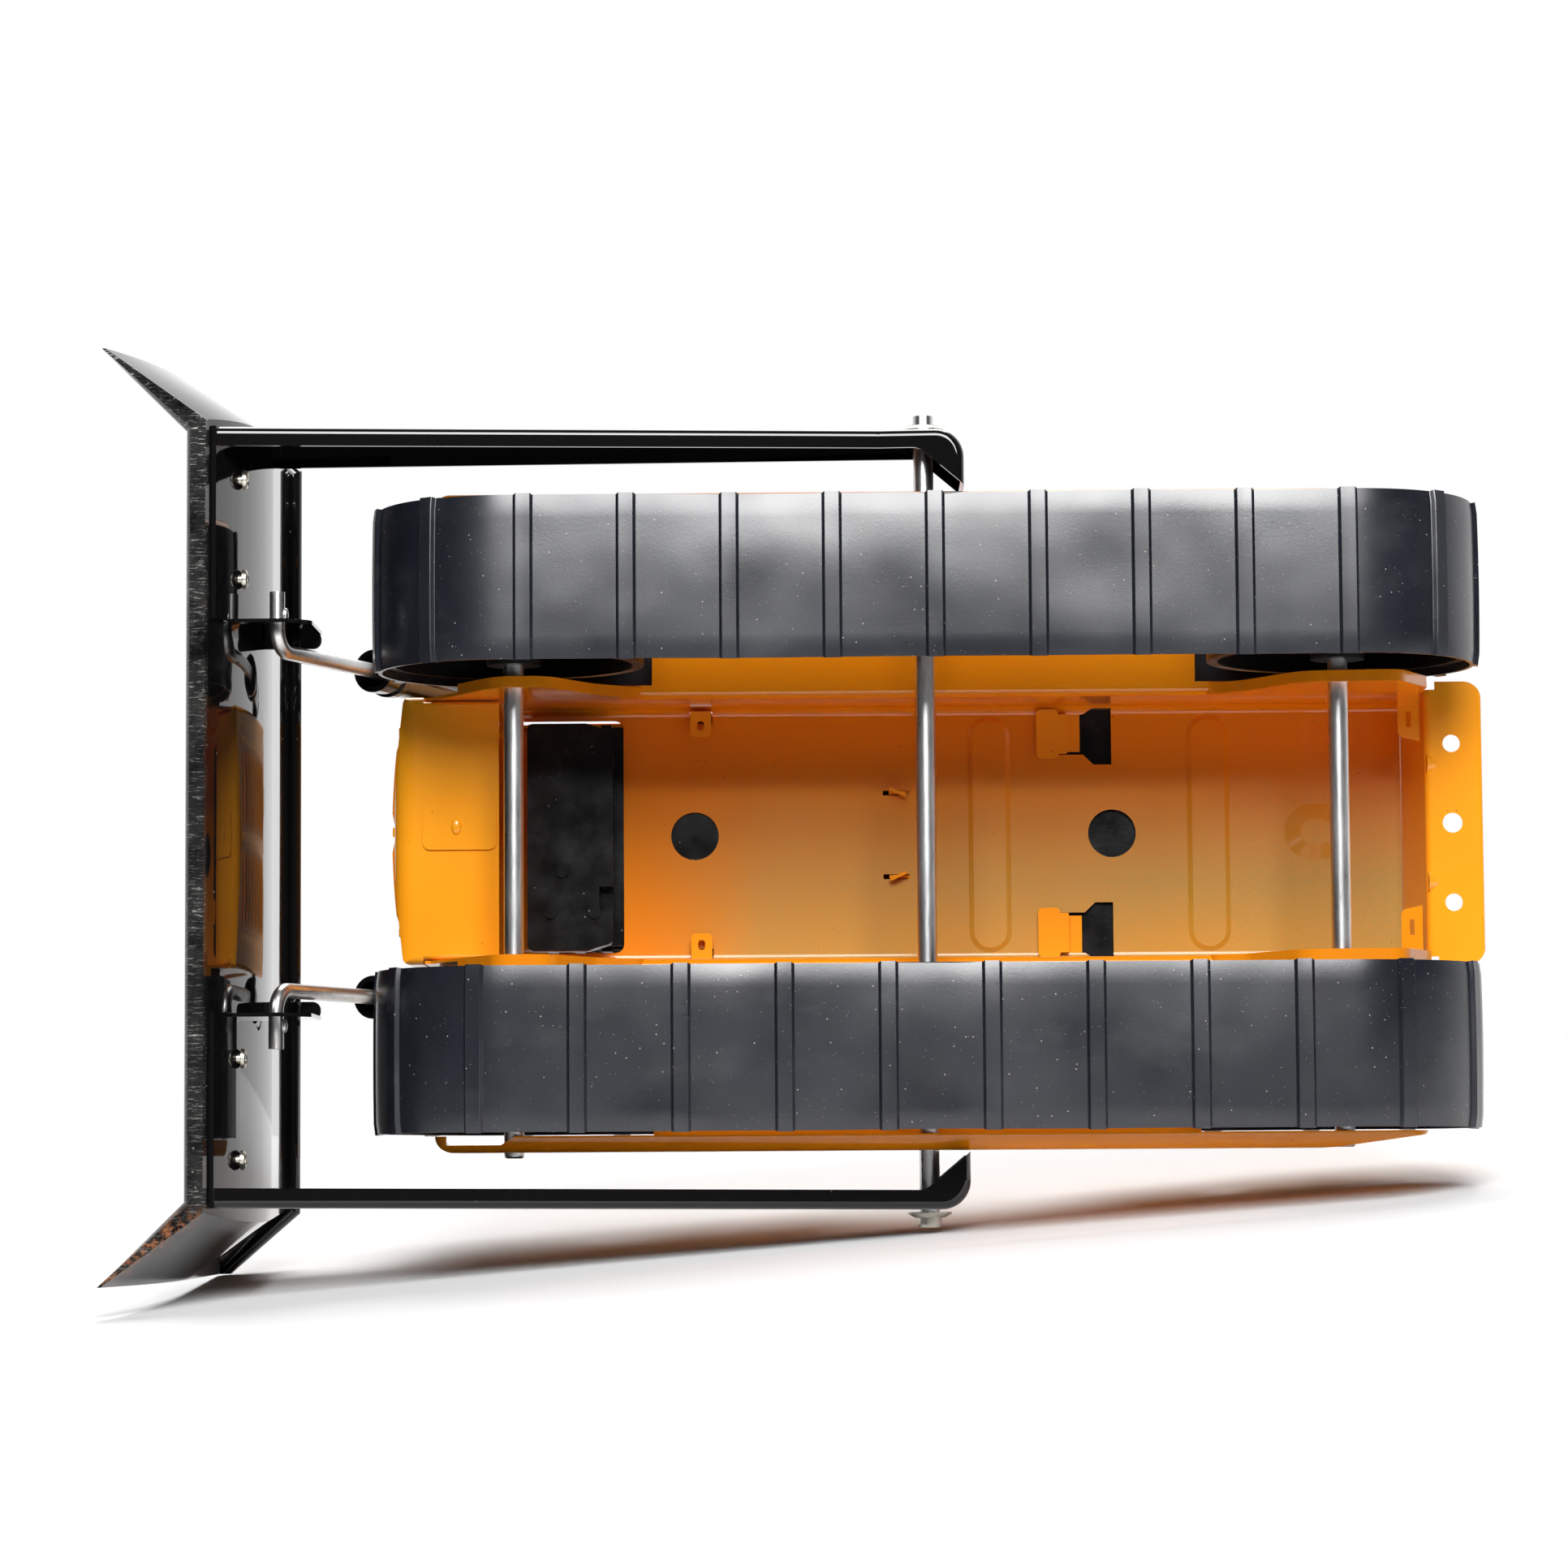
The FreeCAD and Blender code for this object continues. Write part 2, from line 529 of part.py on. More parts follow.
def make_air_cleaner():
    x, y = CLEANER_AT
    neck = rod_z(CLEANER_RADIUS, 150.2, HOOD_TOP + 12, x, y)
    bowl = rod_z(8.5, HOOD_TOP + 11, HOOD_TOP + 20, x, y)
    bowl = soften(bowl, 1.5, lambda c, e: c.z < HOOD_TOP + 12 and e.Length > 20)
    cap = Part.makeCone(10.0, 6.5, 4.5, Vector(x, y, HOOD_TOP + 21), Vector(0, 0, 1))
    collar = rod_z(7.0, HOOD_TOP + 19, HOOD_TOP + 22, x, y)
    return fuse([neck, bowl, collar, cap])


# --- operator's station -------------------------------------------------------------------
def make_cowl():
    """Instrument cowl: sheet box with a sloping dash, held by two twisted tabs."""
    t = SHEET
    y0, y1 = COWL

    def wedge(inset, drop, x):
        return prism_x([(y0 + inset, DECK_Z - drop, 0), (y0 + inset, HOOD_TOP - inset, 5.0),
                        (y0 + 18, HOOD_TOP - inset, 5.0), (y1 - inset, 132 - inset, 3.0),
                        (y1 - inset, DECK_Z - drop, 0)], -x, x)

    shell = wedge(0.1, 0, HOOD_HALF).cut(wedge(t, 1, HOOD_HALF - t))
    tab_y = (COWL_TAB_Y[0] + 2.0, COWL_TAB_Y[1] - 1.0)
    middle = (tab_y[0] + tab_y[1]) / 2
    stem = box(COWL_TAB_X - 0.5, COWL_TAB_X + 0.5, *tab_y, DECK_Z - 1.5, DECK_Z + 4)
    twist = box(COWL_TAB_X - 0.5, COWL_TAB_X + 0.5, *tab_y, DECK_Z - 5.0, DECK_Z - 1.6)
    twist.rotate(Vector(COWL_TAB_X, middle, DECK_Z), Vector(0, 0, 1), 24)
    neck = box(COWL_TAB_X - 0.5, COWL_TAB_X + 0.5, middle - 1.5, middle + 1.5, DECK_Z - 2.5,
               DECK_Z - 1.0)
    bridge = box(COWL_TAB_X - 3.0, COWL_TAB_X + 3.0, tab_y[0], y1 - 0.2, DECK_Z + 2.6, DECK_Z + 4.0)
    pieces = [shell] + [p for part in (stem, twist, neck, bridge) for p in both(part)]
    slots = both(box(15.0, 19.0, -26.0, -8.0, 120, 170))
    return cut(fuse(pieces), slots)


def make_levers():
    """Two control levers on a cross bar under the dash slots, each with a ball knob."""
    shapes = []
    for x in (-17.0, 17.0):
        foot = Vector(x, -18.0, 118.0)
        top = Vector(x, -12.0, 176.0)
        lever = Part.makeCylinder(1.6, (top - foot).Length, foot, top - foot)
        knob = Part.makeSphere(4.2, top)
        shapes.append(lever.fuse(knob))
    shapes.append(rod_x(2.2, -39.7, 39.7, -18.0, 118.0))
    return fuse(shapes)


def make_seat():
    """Moulded seat: base, cushion, backrest and two arm boxes in one piece."""
    y0, y1 = SEAT
    half = SEAT_SIDE_X - 1.3
    base = block(-half, half, y0, y1, DECK_Z + 1.2, 122.0, 4.0)
    cushion = block(-21.0, 21.0, y0 + 2, y1 - 14, 121.0, 131.0, 6.0)
    cushion = soften(cushion, 3.0, lambda c, e: c.z > 130.9)
    back = prism_x([(y1 - 20, 122, 0), (y1 - 10, 168, 4), (y1 - 1, 170, 4), (y1 - 3, 122, 0)],
                   -22.0, 22.0)
    back = soften(back, 3.0, lambda c, e: abs(abs(c.x) - 22) < 0.01 and c.z > 128)
    pieces = [base, cushion, back]
    for side in both(block(24.0, half, y0 + 4, y1 - 6, 121.0, 141.0, 3.0)):
        pieces.append(soften(side, 2.0, lambda c, e: c.z > 140.9))
    return fuse(pieces)


def make_seat_frame():
    """Sheet sides that hold the seat, with tabs bent over under the deck."""
    y0, y1 = SEAT
    outer, inner = SEAT_SIDE_X, SEAT_SIDE_X - 1.0
    side = prism_x([(y0 + 2, DECK_Z, 0), (y0 + 2, 134, 6), (y0 + 16, 146, 8), (y1 - 2, 146, 8),
                    (y1 - 2, DECK_Z, 0)], inner, outer)
    drop = box(27.0, 39.2, 46.6, 47.6, DECK_Z - 3.2, DECK_Z + 1.0)
    shelf = box(27.0, outer, 46.6, 52.0, DECK_Z, DECK_Z + 1.0)
    neck = box(26.2, 39.2, 43.0, 47.6, DECK_Z - 3.2, DECK_Z - 2.2)
    over = block(24.5, 40.9, 37.6, 44.8, DECK_Z - 3.2, DECK_Z - 2.2, 1.6)
    rear_panel = box(-outer, outer, y1 + 0.3, y1 + 1.3, DECK_Z, 146.0)
    link = box(inner, outer, y1 - 4, y1 + 1.3, DECK_Z, 140.0)
    pieces = [p for part in (side, shelf, drop, neck, over, link) for p in both(part)]
    return fuse(pieces + [rear_panel])


def make_tank():
    """Fuel tank behind the seat: rounded sheet box with a filler cap."""
    y0, y1 = TANK
    tank = block(-38.0, 38.0, y0, y1, DECK_Z, 150.0, 7.0)
    tank = soften(tank, 6.0, lambda c, e: c.z > 149.9)
    inner = block(-37.0, 37.0, y0 + 1, y1 - 1, DECK_Z - 1, 149.0, 6.0)
    inner = soften(inner, 5.0, lambda c, e: c.z > 148.9)
    filler = rod_z(6.5, 149.5, 155.0, 20.0, (y0 + y1) / 2)
    over = [(y0 - 0.7, DECK_Z, 0), (y0 - 0.7, 150.7, 6.7), (y1 + 0.7, 150.7, 6.7),
            (y1 + 0.7, DECK_Z, 0)]
    straps = [prism_x(over, x - 3, x + 3) for x in (-24.0, 4.0)]
    return cut(fuse([tank, filler] + straps), [inner])


# --- running gear -------------------------------------------------------------------------
def stadium(radius, x0, x1):
    """Block whose side view is the track's loop at the given radius."""
    ends = [rod_x(radius, x0, x1, y, AXLE_Z) for y in (-WHEEL_SPAN, WHEEL_SPAN)]
    middle = box(x0, x1, -WHEEL_SPAN, WHEEL_SPAN, AXLE_Z - radius, AXLE_Z + radius)
    return fuse([middle] + ends)


def cleat(x0, x1):
    """One cleat at the bottom run, at y = 0."""
    base = BELT_RADIUS - 0.3
    tip = BELT_RADIUS + CLEAT_HEIGHT
    half = CLEAT_WIDTH / 2
    return prism_x([(-half - 0.3, AXLE_Z - base, 0), (half + 0.3, AXLE_Z - base, 0),
                    (half - 0.4, AXLE_Z - tip, 0.5), (-half + 0.4, AXLE_Z - tip, 0.5)], x0, x1)


def make_belt(phase):
    """Rubber belt for the left side, with cleats spaced evenly round the loop."""
    loop = stadium(BELT_RADIUS, BELT_INNER_X, BELT_OUTER_X)
    loop = loop.cut(stadium(BELT_RADIUS - BELT_THICKNESS, BELT_INNER_X - 1, BELT_OUTER_X + 1))
    run = 2 * WHEEL_SPAN
    turn = pi * BELT_RADIUS
    cleats = []
    for i in range(CLEATS):
        along = phase + i * CLEAT_PITCH
        piece = cleat(BELT_INNER_X - 0.25, BELT_OUTER_X + 0.25)
        if along < run:
            piece.translate(Vector(0, along - WHEEL_SPAN, 0))
        elif along < run + turn:
            piece.rotate(Vector(0, 0, AXLE_Z), Vector(1, 0, 0), degrees((along - run) / BELT_RADIUS))
            piece.translate(Vector(0, WHEEL_SPAN, 0))
        elif along < 2 * run + turn:
            piece.rotate(Vector(0, 0, AXLE_Z), Vector(1, 0, 0), 180)
            piece.translate(Vector(0, WHEEL_SPAN - (along - run - turn), 0))
        else:
            angle = 180 + degrees((along - 2 * run - turn) / BELT_RADIUS)
            piece.rotate(Vector(0, 0, AXLE_Z), Vector(1, 0, 0), angle)
            piece.translate(Vector(0, -WHEEL_SPAN, 0))
        cleats.append(piece)
    return fuse([loop] + cleats)


def make_wheel(y):
    """Moulded wheel for the left side: rim, web, hub and stiffening ribs."""
    x0, x1 = WHEEL_X
    middle = (x0 + x1) / 2
    rim = rod_x(WHEEL_RADIUS, x0, x1, y, AXLE_Z).cut(
        rod_x(WHEEL_RADIUS - WHEEL_RIM, x0 - 1, x1 + 1, y, AXLE_Z))
    web = rod_x(WHEEL_RADIUS - 1, middle - WHEEL_WEB / 2, middle + WHEEL_WEB / 2, y, AXLE_Z)
    hub = rod_x(WHEEL_HUB_RADIUS, x0, x1, y, AXLE_Z)
    pieces = [rim, web, hub]
    for i in range(WHEEL_RIBS):
        rib = box(x0 + 5, x1 - 5, y - 1.1, y + 1.1, AXLE_Z + 4, AXLE_Z + WHEEL_RADIUS - 1)
        rib.rotate(Vector(0, y, AXLE_Z), Vector(1, 0, 0), i * 360 / WHEEL_RIBS)
        pieces.append(rib)
    return cut(fuse(pieces), [rod_x(AXLE_RADIUS + RUNNING, x0 - 1, x1 + 1, y, AXLE_Z)])


def make_wheel_axle(y, slid):
    """Rod through both skirts with rounded ends; slid is how far it has crept to the left."""
    rod = rod_x(AXLE_RADIUS, slid - AXLE_END, slid + AXLE_END, y, AXLE_Z)
    return soften(rod, 0.9, lambda c, e: abs(abs(c.x - slid) - AXLE_END) < 0.01)


def make_axle_washers():
    """Toothed push-on washers on the wheel axles, one outside each wheel."""
    washers = []
    for y in (-WHEEL_SPAN, WHEEL_SPAN):
        washer = rod_x(6.4, WHEEL_X[1] + 0.6, WHEEL_X[1] + 1.7, y, AXLE_Z)
        washer = soften(washer, 0.4, lambda c, e: e.Length > 30)
        teeth = [rod_x(AXLE_RADIUS, 90, 110, y, AXLE_Z)]
        for i in range(3):
            slit = box(90, 110, y - 0.5, y + 0.5, AXLE_Z - 4.9, AXLE_Z + 4.9)
            slit.rotate(Vector(100, y, AXLE_Z), Vector(1, 0, 0), i * 60)
            teeth.append(slit)
        washers += both(cut(washer, teeth))
    return Part.makeCompound(washers)


def make_pivot_axle():
    """Rod across the body that carries the push arms; its left end is slotted."""
    rod = rod_x(AXLE_RADIUS, -PIVOT_SHORT_END, PIVOT_END, 0, AXLE_Z)
    slot = box(PIVOT_END - 3.6, PIVOT_END + 1, -1.15, 1.15, AXLE_Z - 5, AXLE_Z + 5)
    return rod.cut(slot)


def push_nut(x, outwards):
    """Toothed spring washer pushed over the pivot axle."""
    dish = Part.makeCone(6.9, 4.6, 1.3, Vector(x, 0, AXLE_Z), Vector(outwards, 0, 0))
    hollow = Part.makeCone(6.2, 3.9, 1.3, Vector(x - outwards * 0.5, 0, AXLE_Z),
                           Vector(outwards, 0, 0))
    rim = Part.makeCylinder(6.9, 0.5, Vector(x - outwards * 0.5, 0, AXLE_Z), Vector(outwards, 0, 0))
    collar = Part.makeCylinder(4.8, 0.7, Vector(x + outwards * 0.6, 0, AXLE_Z),
                               Vector(outwards, 0, 0))
    nut = fuse([rim, dish.cut(hollow), collar])
    slots = []
    for i in range(3):
        slot = box(-2 + x, 2 + x, -0.5, 0.5, AXLE_Z - 5.2, AXLE_Z + 5.2)
        slot.rotate(Vector(x, 0, AXLE_Z), Vector(1, 0, 0), 30 + i * 60)
        slots.append(slot)
    return nut, slots


def make_left_push_nut():
    nut, slots = push_nut(123.8, 1)
    return cut(nut, slots + [rod_x(AXLE_RADIUS, 110, 140, 0, AXLE_Z)])


def make_right_push_cap():
    nut, slots = push_nut(-123.8, -1)
    cap = rod_x(3.7, -PIVOT_END, -124.0, 0, AXLE_Z)
    cap = soften(cap, 1.0, lambda c, e: c.x < -PIVOT_END + 0.1 and e.Length > 10)
    return cut(fuse([nut, cap]), [rod_x(AXLE_RADIUS, -PIVOT_SHORT_END, -110, 0, AXLE_Z)])


# --- blade and push frame -----------------------------------------------------------------
def blade_arc(offset):
    """Back-face points of the moldboard's curved part, moved towards the rear by offset."""
    rise = BLADE_SHEET_TOP - BLADE_SHEET_BOTTOM
    radius = (BLADE_UPRIGHT_Z ** 2 + rise ** 2) / (2 * rise)
    centre_y = BLADE_SHEET_TOP - radius

    def on_face(z):
        return Vector(0, centre_y + sqrt((radius + offset) ** 2 - (BLADE_UPRIGHT_Z - z) ** 2), z)

    return on_face


def sheet_face(inner, outer, z0, z1):
    """Strip of sheet that follows the moldboard between two offsets, in the plane x = 0."""
    back = blade_arc(outer)
    front = blade_arc(inner)
    half = (z0 + min(z1, BLADE_UPRIGHT_Z)) / 2
    bend = min(z1, BLADE_UPRIGHT_Z)
    edges = [Part.Arc(back(z0), back(half), back(bend)).toShape()]
    if z1 > BLADE_UPRIGHT_Z:
        edges.append(Part.makeLine(back(bend), Vector(0, back(bend).y, z1)))
    edges.append(Part.makeLine(Vector(0, back(bend).y, z1), Vector(0, front(bend).y, z1)))
    if z1 > BLADE_UPRIGHT_Z:
        edges.append(Part.makeLine(Vector(0, front(bend).y, z1), front(bend)))
    edges.append(Part.Arc(front(bend), front(half), front(z0)).toShape())
    edges.append(Part.makeLine(front(z0), back(z0)))
    return Part.Face(Part.Wire(edges))


def blade_section(hem_depth):
    """Moldboard section: curved sheet, folded hem at the ground, rolled bead at the top."""
    back = blade_arc(0.0)
    front = blade_arc(-HEAVY_SHEET)
    half = BLADE_UPRIGHT_Z / 2
    bead_y = BLADE_SHEET_TOP + BEAD_RADIUS - HEAVY_SHEET
    bead_foot = BLADE_TOP - sqrt(BEAD_RADIUS ** 2 - (BEAD_RADIUS - HEAVY_SHEET) ** 2)
    hem_front = BLADE_SHEET_BOTTOM - hem_depth
    nose = hem_front + min(HEM_HEIGHT / 2, hem_depth / 4)

    def at(y, z):
        return Vector(0, y, z)

    edges = [
        Part.makeLine(back(0), at(nose, 0)),
        Part.Arc(at(nose, 0), at(hem_front, HEM_HEIGHT / 2), at(nose, HEM_HEIGHT)).toShape(),
        Part.makeLine(at(nose, HEM_HEIGHT), front(HEM_HEIGHT)),
        Part.Arc(front(HEM_HEIGHT), front(half), front(BLADE_UPRIGHT_Z)).toShape(),
        Part.makeLine(front(BLADE_UPRIGHT_Z), at(bead_y - BEAD_RADIUS, BLADE_TOP)),
        Part.Arc(at(bead_y - BEAD_RADIUS, BLADE_TOP), at(bead_y + BEAD_RADIUS, BLADE_TOP),
                 at(BLADE_SHEET_TOP, bead_foot)).toShape(),
        Part.makeLine(at(BLADE_SHEET_TOP, bead_foot), back(BLADE_UPRIGHT_Z)),
        Part.Arc(back(BLADE_UPRIGHT_Z), back(half), back(0)).toShape(),
    ]
    return Part.Wire(edges)


def slanted(wire, side, mitre, x_at, y_shift):
    """The section moved out to one side, to a mitred plane that leans with height."""
    rise = (BLADE_SHEET_TOP - BLADE_SHEET_BOTTOM) / BLADE_TOP
    matrix = FreeCAD.Matrix()
    matrix.A11 = 1.0
    matrix.A12 = side * mitre
    matrix.A13 = side * ((x_at[1] - x_at[0]) / BLADE_TOP - mitre * rise)
    matrix.A14 = side * (x_at[0] - mitre * BLADE_SHEET_BOTTOM)
    matrix.A23 = (y_shift[1] - y_shift[0]) / BLADE_TOP
    matrix.A24 = y_shift[0]
    return wire.transformGeometry(matrix)


def make_moldboard():
    section = blade_section(HEM_DEPTH)
    left_bend = slanted(section, 1, MITRE, BEND_X, (0, 0))
    right_bend = slanted(section, -1, MITRE, BEND_X, (0, 0))
    tip = slanted(blade_section(TIP_HEM_DEPTH), 1, 0, TIP_X, TIP_SWEEP)
    middle = Part.makeLoft([right_bend, left_bend], True, True)
    wing = Part.makeLoft([left_bend, tip], True, True)
    blade = fuse([middle] + both(wing))
    holes = [Part.makeCylinder(RIVET_RADIUS, 30, Vector(side * x, -235, RIVET_Z), Vector(0, 1, 0))
             for x in RIVET_X for side in (-1, 1)]
    return cut(blade, holes)


def arm_plan(inset, inner_extra):
    """Plan of a push arm: straight outer side, rounded rear corner, slanting inner edge."""
    front_x, rear_x = (x - inset for x in ARM_OUTER_X)
    front = ARM_FRONT - 13.0
    inner_front = ARM_OUTER_X[0] - ARM_FLANGE - inner_extra
    inner_rear = ARM_OUTER_X[1] - ARM_FLANGE - inner_extra
    return [(front_x, front, 0), (rear_x, ARM_BACK - inset, 9.0 - inset),
            (ARM_TIP_X - inner_extra, ARM_BACK - inset, 0), (inner_rear, -1.5, 6.0),
            (inner_front, front, 0)]


def arm_side(inset):
    """Side view of a push arm: deep at the blade, shallow at the pivot."""
    front = ARM_FRONT - 13.0
    return [(front, ARM_BOTTOM[0] + inset, 0), (-14.0, ARM_BOTTOM[1] + inset, 20),
            (30, ARM_BOTTOM[1] + inset, 0), (30, ARM_TOP[1] - inset, 0),
            (front, ARM_TOP[0] - inset, 0)]


def make_push_arm():
    """Left push arm: channel from pivot to blade, bracket along the blade, ear for the rod."""
    t = HEAVY_SHEET
    outside = prism_z(arm_plan(0, 0), 0, 70).common(prism_x(arm_side(0), 90, 130))
    inside = prism_z(arm_plan(t, 20), 0, 70).common(prism_x(arm_side(t), 70, 130))
    outside = soften(outside, 2.4, on_arm_rim)
    channel = outside.cut(inside)
    behind_blade = sheet_face(-40, 0.02, -20, 130).extrude(Vector(160, 0, 0))
    channel = channel.cut(behind_blade)
    corner_notch = prism_z([(100, -230, 0), (119.2, -230, 0), (119.2, -216, 0), (112.0, -206, 0),
                            (100, -206, 0)], 40, 70)
    channel = channel.cut(corner_notch)

    plate = sheet_face(0.02, 0.02 + t, ARM_BOTTOM[0], BRACKET_TOP)
    plate = plate.extrude(Vector(ARM_OUTER_X[0] - EAR_X[0], 0, 0))
    plate.translate(Vector(EAR_X[0], 0, 0))
    ear = prism_x([(-230, EAR_Z[0], 0), (-198, EAR_Z[0], 0), (EAR_REAR, EAR_Z[0] + 6, 5),
                   (EAR_REAR, EAR_Z[1], 0), (-230, EAR_Z[1], 0)], *EAR_X)
    lip = prism_z([(EAR_X[0] - 4.6, -211.5, 1.0), (EAR_X[1], -211.5, 0), (EAR_X[1], EAR_REAR, 2.6),
                   (EAR_X[0] - 4.6, EAR_REAR, 2.6)], EAR_Z[1] - t, EAR_Z[1])
    gusset = prism_x([(-230, BRACKET_TOP, 0), (-213, BRACKET_TOP, 0), (-205, EAR_Z[1] - 1, 3),
                      (-230, EAR_Z[1] - 1, 0)], *EAR_X)
    ear = fuse([ear, lip, gusset]).cut(behind_blade)
    arm = fuse([channel, plate, ear])
    holes = [rod_x(AXLE_RADIUS + RUNNING, 110, 130, 0, AXLE_Z),
             rod_x(ROD_RADIUS + RUNNING, 55, 66, *EAR_PIN)]
    holes += [Part.makeCylinder(RIVET_RADIUS, 30, Vector(x, -235, RIVET_Z), Vector(0, 1, 0))
              for x in RIVET_X]
    return cut(arm, holes)


def on_arm_rim(centre, edge):
    """Edges where the arm's outer web and rear wall meet its two flanges."""
    rear = centre.y > ARM_BACK - 0.1 and edge.Length > 6
    upright = abs(edge.tangentAt(edge.FirstParameter).z) > 0.9
    return (centre.x > 118.5 or rear) and not upright


def make_rivets():
    """Four rivets through the brackets and the moldboard, flat heads behind, domes in front."""
    face_y = blade_arc(0.0)(RIVET_Z).y
    rivets = []
    for x in RIVET_X:
        for side in (-1, 1):
            shank = Part.makeCylinder(RIVET_RADIUS, HEAVY_SHEET * 2 + 3.2,
                                      Vector(side * x, face_y - HEAVY_SHEET - 1.6, RIVET_Z),
                                      Vector(0, 1, 0))
            rear = Part.makeCylinder(RIVET_HEAD, 1.5, Vector(side * x, face_y + HEAVY_SHEET + 1.05,
                                                             RIVET_Z), Vector(0, 1, 0))
            rear = soften(rear, 0.7, lambda c, e: c.y > face_y + HEAVY_SHEET + 2 and e.Length > 8)
            front = Part.makeCylinder(RIVET_HEAD, 1.4, Vector(side * x, face_y - HEAVY_SHEET - 2.7,
                                                              RIVET_Z), Vector(0, 1, 0))
            rivets.append(fuse([shank, rear, front]))
    return Part.makeCompound(rivets)


# --- lift linkage -------------------------------------------------------------------------
def lift_direction():
    """Unit vector from the ear up to the trunnion."""
    return Vector(0, TRUNNION[0] - EAR_PIN[0], TRUNNION[1] - EAR_PIN[1]).normalize()


def make_lift_rod():
    """Left lift rod: cross pin through the ear, a right-angle bend, then the long leg."""
    up = lift_direction()
    corner = Vector(ROD_X, EAR_PIN[0], EAR_PIN[1])
    outwards = Vector(1, 0, 0)
    start = Vector(ROD_OUTER_X, EAR_PIN[0], EAR_PIN[1])
    bend_in = corner + outwards * ROD_BEND
    bend_out = corner + up * ROD_BEND
    bend_mid = corner + (outwards + up) * (ROD_BEND * (1 - 1 / sqrt(2)))
    end = corner + up * ROD_LENGTH
    path = Part.Wire([Part.makeLine(start, bend_in), Part.Arc(bend_in, bend_mid, bend_out).toShape(),
                      Part.makeLine(bend_out, end)])
    section = Part.Wire(Part.Circle(start, Vector(-1, 0, 0), ROD_RADIUS).toShape())
    rod = path.makePipeShell([section], True, False)
    dish = Part.makeSphere(3.6, start + outwards * 2.9)
    stake = ellipsoid(2.2, 1.0, 1.3)
    stake.translate(Vector(EAR_X[1] + 2.5, EAR_PIN[0] + ROD_RADIUS + 0.2, EAR_PIN[1]))
    return fuse([rod, stake]).cut(dish)


def make_cylinder():
    """Left cylinder barrel: open tube with a closed tail and a stub that turns in the grille."""
    up = lift_direction()
    pivot = Vector(ROD_X, TRUNNION[0], TRUNNION[1])
    mouth = pivot - up * BARREL_MOUTH
    length = BARREL_MOUTH + BARREL_TAIL
    barrel = Part.makeCylinder(BARREL_RADIUS, length, mouth, up)
    barrel = soften(barrel, 1.5, lambda c, e: (c - mouth).Length > length - 1 and e.Length > 20)
    collars = [Part.makeCylinder(BARREL_RADIUS + 0.7, 3.5, mouth + up * at, up)
               for at in (10.0, length - 12.0)]
    inner_face = GRILLE_HALF - SHEET
    stub = rod_x(TRUNNION_RADIUS, inner_face - 1.8, ROD_X, *TRUNNION)
    boss = rod_x(TRUNNION_RADIUS + 1.6, NOSE_HALF + 0.3, ROD_X, *TRUNNION)
    head = rod_x(TRUNNION_RADIUS + 0.9, inner_face - 1.8, inner_face - 0.4, *TRUNNION)
    bore = Part.makeCylinder(BARREL_BORE, length - 3.0 + 1, mouth - up, up)
    return cut(fuse([barrel, stub, boss, head] + collars), [bore])


# --- everything ---------------------------------------------------------------------------
def main():
    os.makedirs("parts", exist_ok=True)
    save(make_body_pan(), "body_pan")
    save(make_hitch_plate(), "hitch_plate")
    save(make_grille_shell(), "grille_shell")
    save(make_hood(), "hood")
    save(make_engine(), "engine_block")
    save(make_exhaust_stack(), "exhaust_stack")
    save(make_air_cleaner(), "air_cleaner")
    save(make_cowl(), "instrument_cowl")
    save(make_levers(), "control_levers")
    save(make_seat(), "seat")
    save(make_seat_frame(), "seat_frame")
    save(make_tank(), "fuel_tank")
    save(make_belt(LEFT_CLEAT_PHASE), "left_track_belt")
    save(mirrored(make_belt(RIGHT_CLEAT_PHASE)), "right_track_belt")
    for place, y in (("front", -WHEEL_SPAN), ("rear", WHEEL_SPAN)):
        wheel = make_wheel(y)
        save(wheel, "left_%s_wheel" % place)
        save(mirrored(wheel), "right_%s_wheel" % place)
    save(make_wheel_axle(-WHEEL_SPAN, FRONT_AXLE_SLID), "front_axle")
    save(make_wheel_axle(WHEEL_SPAN, 0.0), "rear_axle")
    save(make_axle_washers(), "axle_washers")
    save(make_pivot_axle(), "pivot_axle")
    save(make_left_push_nut(), "left_push_nut")
    save(make_right_push_cap(), "right_push_cap")
    save(make_moldboard(), "moldboard")
    for name, shape in (("push_arm", make_push_arm()), ("lift_rod", make_lift_rod()),
                        ("cylinder", make_cylinder())):
        save(shape, "left_" + name)
        save(mirrored(shape), "right_" + name)
    save(make_rivets(), "blade_rivets")


main()
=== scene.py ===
from math import cos, pi, radians, sin

import bmesh
import bpy
from mathutils import Matrix, Vector, noise


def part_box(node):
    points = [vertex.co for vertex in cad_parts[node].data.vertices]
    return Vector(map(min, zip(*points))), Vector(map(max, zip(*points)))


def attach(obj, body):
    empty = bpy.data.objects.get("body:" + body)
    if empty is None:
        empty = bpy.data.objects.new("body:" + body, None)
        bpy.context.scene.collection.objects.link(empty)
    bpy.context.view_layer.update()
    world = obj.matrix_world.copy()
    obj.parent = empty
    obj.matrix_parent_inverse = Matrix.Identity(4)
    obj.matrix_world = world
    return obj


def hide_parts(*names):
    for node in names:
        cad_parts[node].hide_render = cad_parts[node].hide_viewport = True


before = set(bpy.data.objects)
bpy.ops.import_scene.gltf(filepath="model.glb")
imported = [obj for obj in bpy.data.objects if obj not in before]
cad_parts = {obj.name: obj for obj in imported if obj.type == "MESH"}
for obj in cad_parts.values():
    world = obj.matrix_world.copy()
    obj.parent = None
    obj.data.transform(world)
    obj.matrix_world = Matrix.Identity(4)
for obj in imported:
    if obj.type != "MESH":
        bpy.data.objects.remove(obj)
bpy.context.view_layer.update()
MM = 0.001

